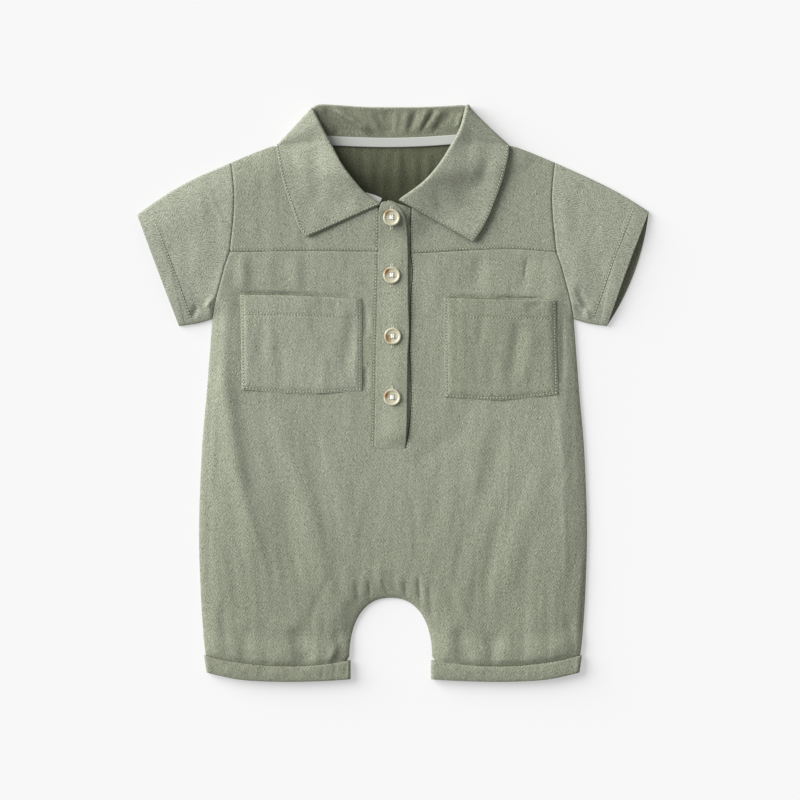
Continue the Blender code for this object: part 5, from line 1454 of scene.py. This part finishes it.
# ---------------------------------------------------------------- buttons
def make_button(number, place, material):
    """A four-hole button: a turned disc with a raised round rim and a dished face, its holes cut through."""
    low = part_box(f"button_{number}")[0][2]
    r, t, dish = BUTTON_RADIUS, BUTTON_THICK, BUTTON_RADIUS - BUTTON_RIM
    profile = [(0, t - BUTTON_DISH), (dish - 1.2 * MM, t - BUTTON_DISH), (dish - 0.5 * MM, t - 0.6 * MM)]
    profile += [(dish, t - 0.2 * MM), (dish + 0.45 * MM, t), (r - 0.5 * MM, t - 0.06 * MM)]
    profile += [(r - 0.12 * MM, t - 0.45 * MM), (r, t - 0.9 * MM), (r - 0.25 * MM, 0.5 * MM)]
    profile += [(r - 1.3 * MM, 0), (0, 0)]
    bm = bmesh.new()
    points = [bm.verts.new((x, 0, z)) for x, z in profile]
    edges = [bm.edges.new(pair) for pair in zip(points, points[1:])]
    bmesh.ops.spin(bm, geom=points + edges, cent=(0, 0, 0), axis=(0, 0, 1), angle=2 * math.pi,
                   steps=BUTTON_SIDES, use_merge=True)
    bmesh.ops.remove_doubles(bm, verts=bm.verts, dist=1e-6)
    bmesh.ops.recalc_face_normals(bm, faces=bm.faces)
    bmesh.ops.translate(bm, verts=bm.verts, vec=(place[0], place[1], low))
    disc = temporary("disc", bm)
    holes = bmesh.new()
    for x, y in HOLES:
        made = bmesh.ops.create_cone(holes, cap_ends=True, segments=HOLE_SIDES, depth=4 * t,
                                     radius1=BUTTON_HOLE_RADIUS, radius2=BUTTON_HOLE_RADIUS)
        bmesh.ops.translate(holes, verts=made["verts"], vec=(place[0] + x, place[1] + y, low))
    drill = temporary("drill", holes)
    cut = disc.modifiers.new("holes", "BOOLEAN")
    cut.operation, cut.object = "DIFFERENCE", drill
    graph = bpy.context.evaluated_depsgraph_get()
    mesh = bpy.data.meshes.new_from_object(disc.evaluated_get(graph), depsgraph=graph)
    mesh.name = f"button_{number}_horn"
    bpy.data.objects.remove(disc)
    bpy.data.objects.remove(drill)
    mesh.shade_smooth()
    mesh.set_sharp_from_angle(angle=math.radians(50))
    return show(f"button_{number}_horn", mesh, material, f"button_{number}")


def temporary(name, bm):
    mesh = bpy.data.meshes.new(name)
    bm.to_mesh(mesh)
    bm.free()
    made = bpy.data.objects.new(name, mesh)
    bpy.context.scene.collection.objects.link(made)
    return made


def strands(name, paths, radius, material, sides=8):
    """Round threads along paths, as one mesh with closed ends."""
    bm = bmesh.new()
    for path in paths:
        path = np.array(path, float)
        along = np.gradient(path, axis=0)
        along /= np.linalg.norm(along, axis=1)[:, None]
        level = np.cross(along, (0, 0, 1.0))
        level /= np.linalg.norm(level, axis=1)[:, None]
        up = np.cross(level, along)
        turns = np.arange(sides) * 2 * math.pi / sides
        rings = []
        for p, l, u in zip(path, level, up):
            rings.append([bm.verts.new(p + radius * (math.cos(a) * l + math.sin(a) * u)) for a in turns])
        for ring, after in zip(rings, rings[1:]):
            for k in range(sides):
                bm.faces.new((ring[k], ring[(k + 1) % sides], after[(k + 1) % sides], after[k]))
        bm.faces.new(rings[0][::-1])
        bm.faces.new(rings[-1])
    bmesh.ops.recalc_face_normals(bm, faces=bm.faces)
    mesh = bpy.data.meshes.new(name)
    bm.to_mesh(mesh)
    bm.free()
    mesh.shade_smooth()
    return show(name, mesh, material)


def cross_paths(number, place):
    """The threads that hold a button: two crossed pairs that dip into its holes."""
    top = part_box(f"button_{number}")[1][2] - BUTTON_DISH
    found = []
    for (a, b), rise in zip(((0, 2), (1, 3)), THREAD_RISES):
        start, end = np.array(HOLES[a]), np.array(HOLES[b])
        side_way = np.array([-(end - start)[1], (end - start)[0]]) / np.linalg.norm(end - start)
        for offset in (-THREAD_APART / 2, THREAD_APART / 2):
            t = np.linspace(0, 1, 13)[:, None]
            plan = np.array(place) + start + (end - start) * t + side_way * offset
            arch = np.minimum(1, 6 * np.minimum(t, 1 - t))[:, 0]
            height = top - THREAD_DIP + (THREAD_DIP + rise) * np.sin(arch * math.pi / 2)
            found.append(np.column_stack([plan, height]))
    return found


# ---------------------------------------------------------------- making it
cotton = cotton_material()
spun = spun_group()
thread = thread_material("sage_thread", THREAD_COLOUR, spun)
prick_shade = thread_material("needle_hole_painted_shade", PRICK_SHADE_COLOUR, spun)
white_thread = thread_material("white_thread", BUTTON_THREAD, spun)
hole_thread = thread_material("buttonhole_thread", BUTTONHOLE_THREAD, spun)
tape = tape_material()
horn = horn_group()
laying = stitch_tree()


def closed_face(face, rows):
    return lambda x, y: face(x, y) - grooves(x, y, rows)


def fine_creases(loop):
    """The lines of the creases inside a panel that are too fine for its lattice."""
    found = []
    for row in CREASES:
        line = straight(np.array(row[:2]) * MM, np.array(row[2:4]) * MM)
        if row[4] * MM < FINE_CREASE and is_inside(*line[len(line) // 2], loop):
            found.append(line)
    return found


# the back, with the part of it that shows through the neck opening
loop = back_loop()
piece = cloth_piece("back_cloth", "back", loop, back_face, cotton, pitch=5 * MM, fine=neck_area,
                    shade=back_shade)

# the front and its placket
front_rows = [(table_line(PLACKET_SEAM[s]) + (PLACKET_STITCH[s], 0))[1:-1] for s in (LEFT, RIGHT)]
mouths = [spline(np.array(POCKETS[side][:3], float) * MM) + (0, 0.9 * MM) for side in (LEFT, RIGHT)]
loop = front_loop()
piece = cloth_piece("front_cloth", "front", loop, closed_face(sewn_front, front_rows), cotton,
                    lines=front_rows + fine_creases(loop) + mouths, shade=front_shade)
rows_3d = laid(front_rows, closed_face(sewn_front, front_rows), STITCH_LIFT)

for side, word in SIDES:
    # yoke
    loop = yoke_loop(side)
    seam = yoke_seam(side) + (0, YOKE_STITCH)
    edge = table_line(PLACKET_YOKE_SEAM[side]) + (PLACKET_STITCH[side], 0)
    rows = [seam[1:-1], edge[2:-1]]
    face = closed_face(sewn_front, rows)
    piece = cloth_piece(f"yoke_{word}_cloth", f"yoke_{word}", loop, face, cotton, lines=rows)
    rows_3d += laid(rows, face, STITCH_LIFT)
    # pocket
    loop = pocket_loop(side)
    rows = [pocket_hem(side), *pocket_edges(side)]
    face = closed_face(pocket_face, rows)
    piece = cloth_piece(f"pocket_{word}_cloth", f"pocket_{word}", loop, face, cotton, lines=rows[:1],
                        rounding=FREE_ROUND)
    rows_3d += laid(rows, face, STITCH_LIFT)
    # sleeve
    lines = sleeve_lines(side)
    piece = make_sleeve(side, word, cotton)
    rows_3d += laid([sleeve_hem_line(side)], front_face, STITCH_LIFT)
    # cuff
    piece = make_cuff(side, word, cotton)

# placket
loop = strip_loop()
piece = cloth_piece("placket_strip_cloth", "placket_strip", loop, strip_face, cotton, rounding=FREE_ROUND,
                    shade=strip_shade)
loop = underlap_loop()
piece = cloth_piece("placket_underlap_cloth", "placket_underlap", loop, underlap_face, cotton,
                    pitch=1 * MM, shade=underlap_shade)

# collar
collar_piece = make_collar(cotton)
rows_3d += collar_rows()

# neck tapes
for name, line, width, face in (
    ("neck_tape_back", TAPE_BACK, TAPE_WIDTH, lambda x, y: np.full_like(x, 2 * LAYER + CLOTH)),
    ("neck_tape_front", TAPE_FRONT, TAPE_FRONT_WIDTH, lambda x, y: front_under(x, y) - SEAM - 0.1 * MM),
):
    line = table_line(line)
    low, high = beside(line, -width / 2), beside(line, width / 2)
    loop = closed_loop(low, np.vstack([low[-1], high[-1]]), high[::-1], np.vstack([high[0], low[0]]))
    cloth_piece(f"{name}_twill", name, loop, face, tape, rounding=FREE_ROUND)

stitches("sage_stitches", rows_3d, laying, thread)
# painted shade in the needle holes between the stitches
stitches("needle_hole_painted_shades", rows_3d, laying, prick_shade, size=PRICK_SIZE, start=STITCH_PITCH / 2)

# buttons, their threads and the ends of their buttonholes
places = [tuple(np.array(place) * MM) for place in BUTTON_PLACES]
threads, slots = [], []
for number, place in enumerate(places, 1):
    make_button(number, place, horn_material(number, place, horn))
    threads += cross_paths(number, place)
    for offset in (-BUTTONHOLE_WIDTH / 4, BUTTONHOLE_WIDTH / 4):
        ends = [(place[0] + offset, place[1] + way * BUTTONHOLE_LENGTH / 2) for way in (-1, 1)]
        slots.append(straight(*ends, 1 * MM))
strands("button_threads", threads, THREAD_RADIUS, white_thread)
stitches("buttonholes", laid(slots, strip_face, STITCH_LIFT), laying, hole_thread,
         size=BAR_SIZE, pitch=BUTTONHOLE_PITCH, across=math.pi / 2)


# ---------------------------------------------------------------- floor, light and camera
def floor_plane():
    mesh = bpy.data.meshes.new("floor")
    half = FLOOR_SIZE / 2
    mesh.from_pydata([(x * half, y * half, FLOOR_Z) for x, y in CORNERS], [], [(0, 1, 2, 3)])
    made = bpy.data.objects.new("floor", mesh)
    bpy.context.scene.collection.objects.link(made)
    material, _, _ = new_material("pale_table", 0.9, Base_Color=FLOOR_COLOUR, Specular_IOR_Level=0.0,
                                  Emission_Color=(1, 1, 1, 1), Emission_Strength=FLOOR_GLOW)
    mesh.materials.append(material)


floor_plane()
window = bpy.data.lights.new("window", "SUN")
window.energy, window.angle = WINDOW_ENERGY, math.radians(WINDOW_SPREAD)
lamp = bpy.data.objects.new("window", window)
bearing, rise = (math.radians(angle) for angle in (WINDOW_BEARING, WINDOW_RISE))
towards = Vector((math.cos(bearing) * math.cos(rise), math.sin(bearing) * math.cos(rise), math.sin(rise)))
lamp.rotation_euler = (-towards).to_track_quat("-Z", "Y").to_euler()
bpy.context.scene.collection.objects.link(lamp)

world = bpy.data.worlds.new("studio")
world.use_nodes = True
world.node_tree.nodes["Background"].inputs["Color"].default_value = (1, 1, 1, 1)
world.node_tree.nodes["Background"].inputs["Strength"].default_value = ROOM_LIGHT
bpy.context.scene.world = world
bpy.context.scene.view_settings.view_transform = "Standard"

lens = bpy.data.cameras.new("camera")
lens.sensor_width = 36
lens.lens = 36 * CAMERA_HEIGHT / VIEW_WIDTH
lens.clip_end = 20
camera = bpy.data.objects.new("camera", lens)
camera.location = (*VIEW_CENTRE, CAMERA_HEIGHT)
bpy.context.scene.collection.objects.link(camera)
bpy.context.scene.camera = camera
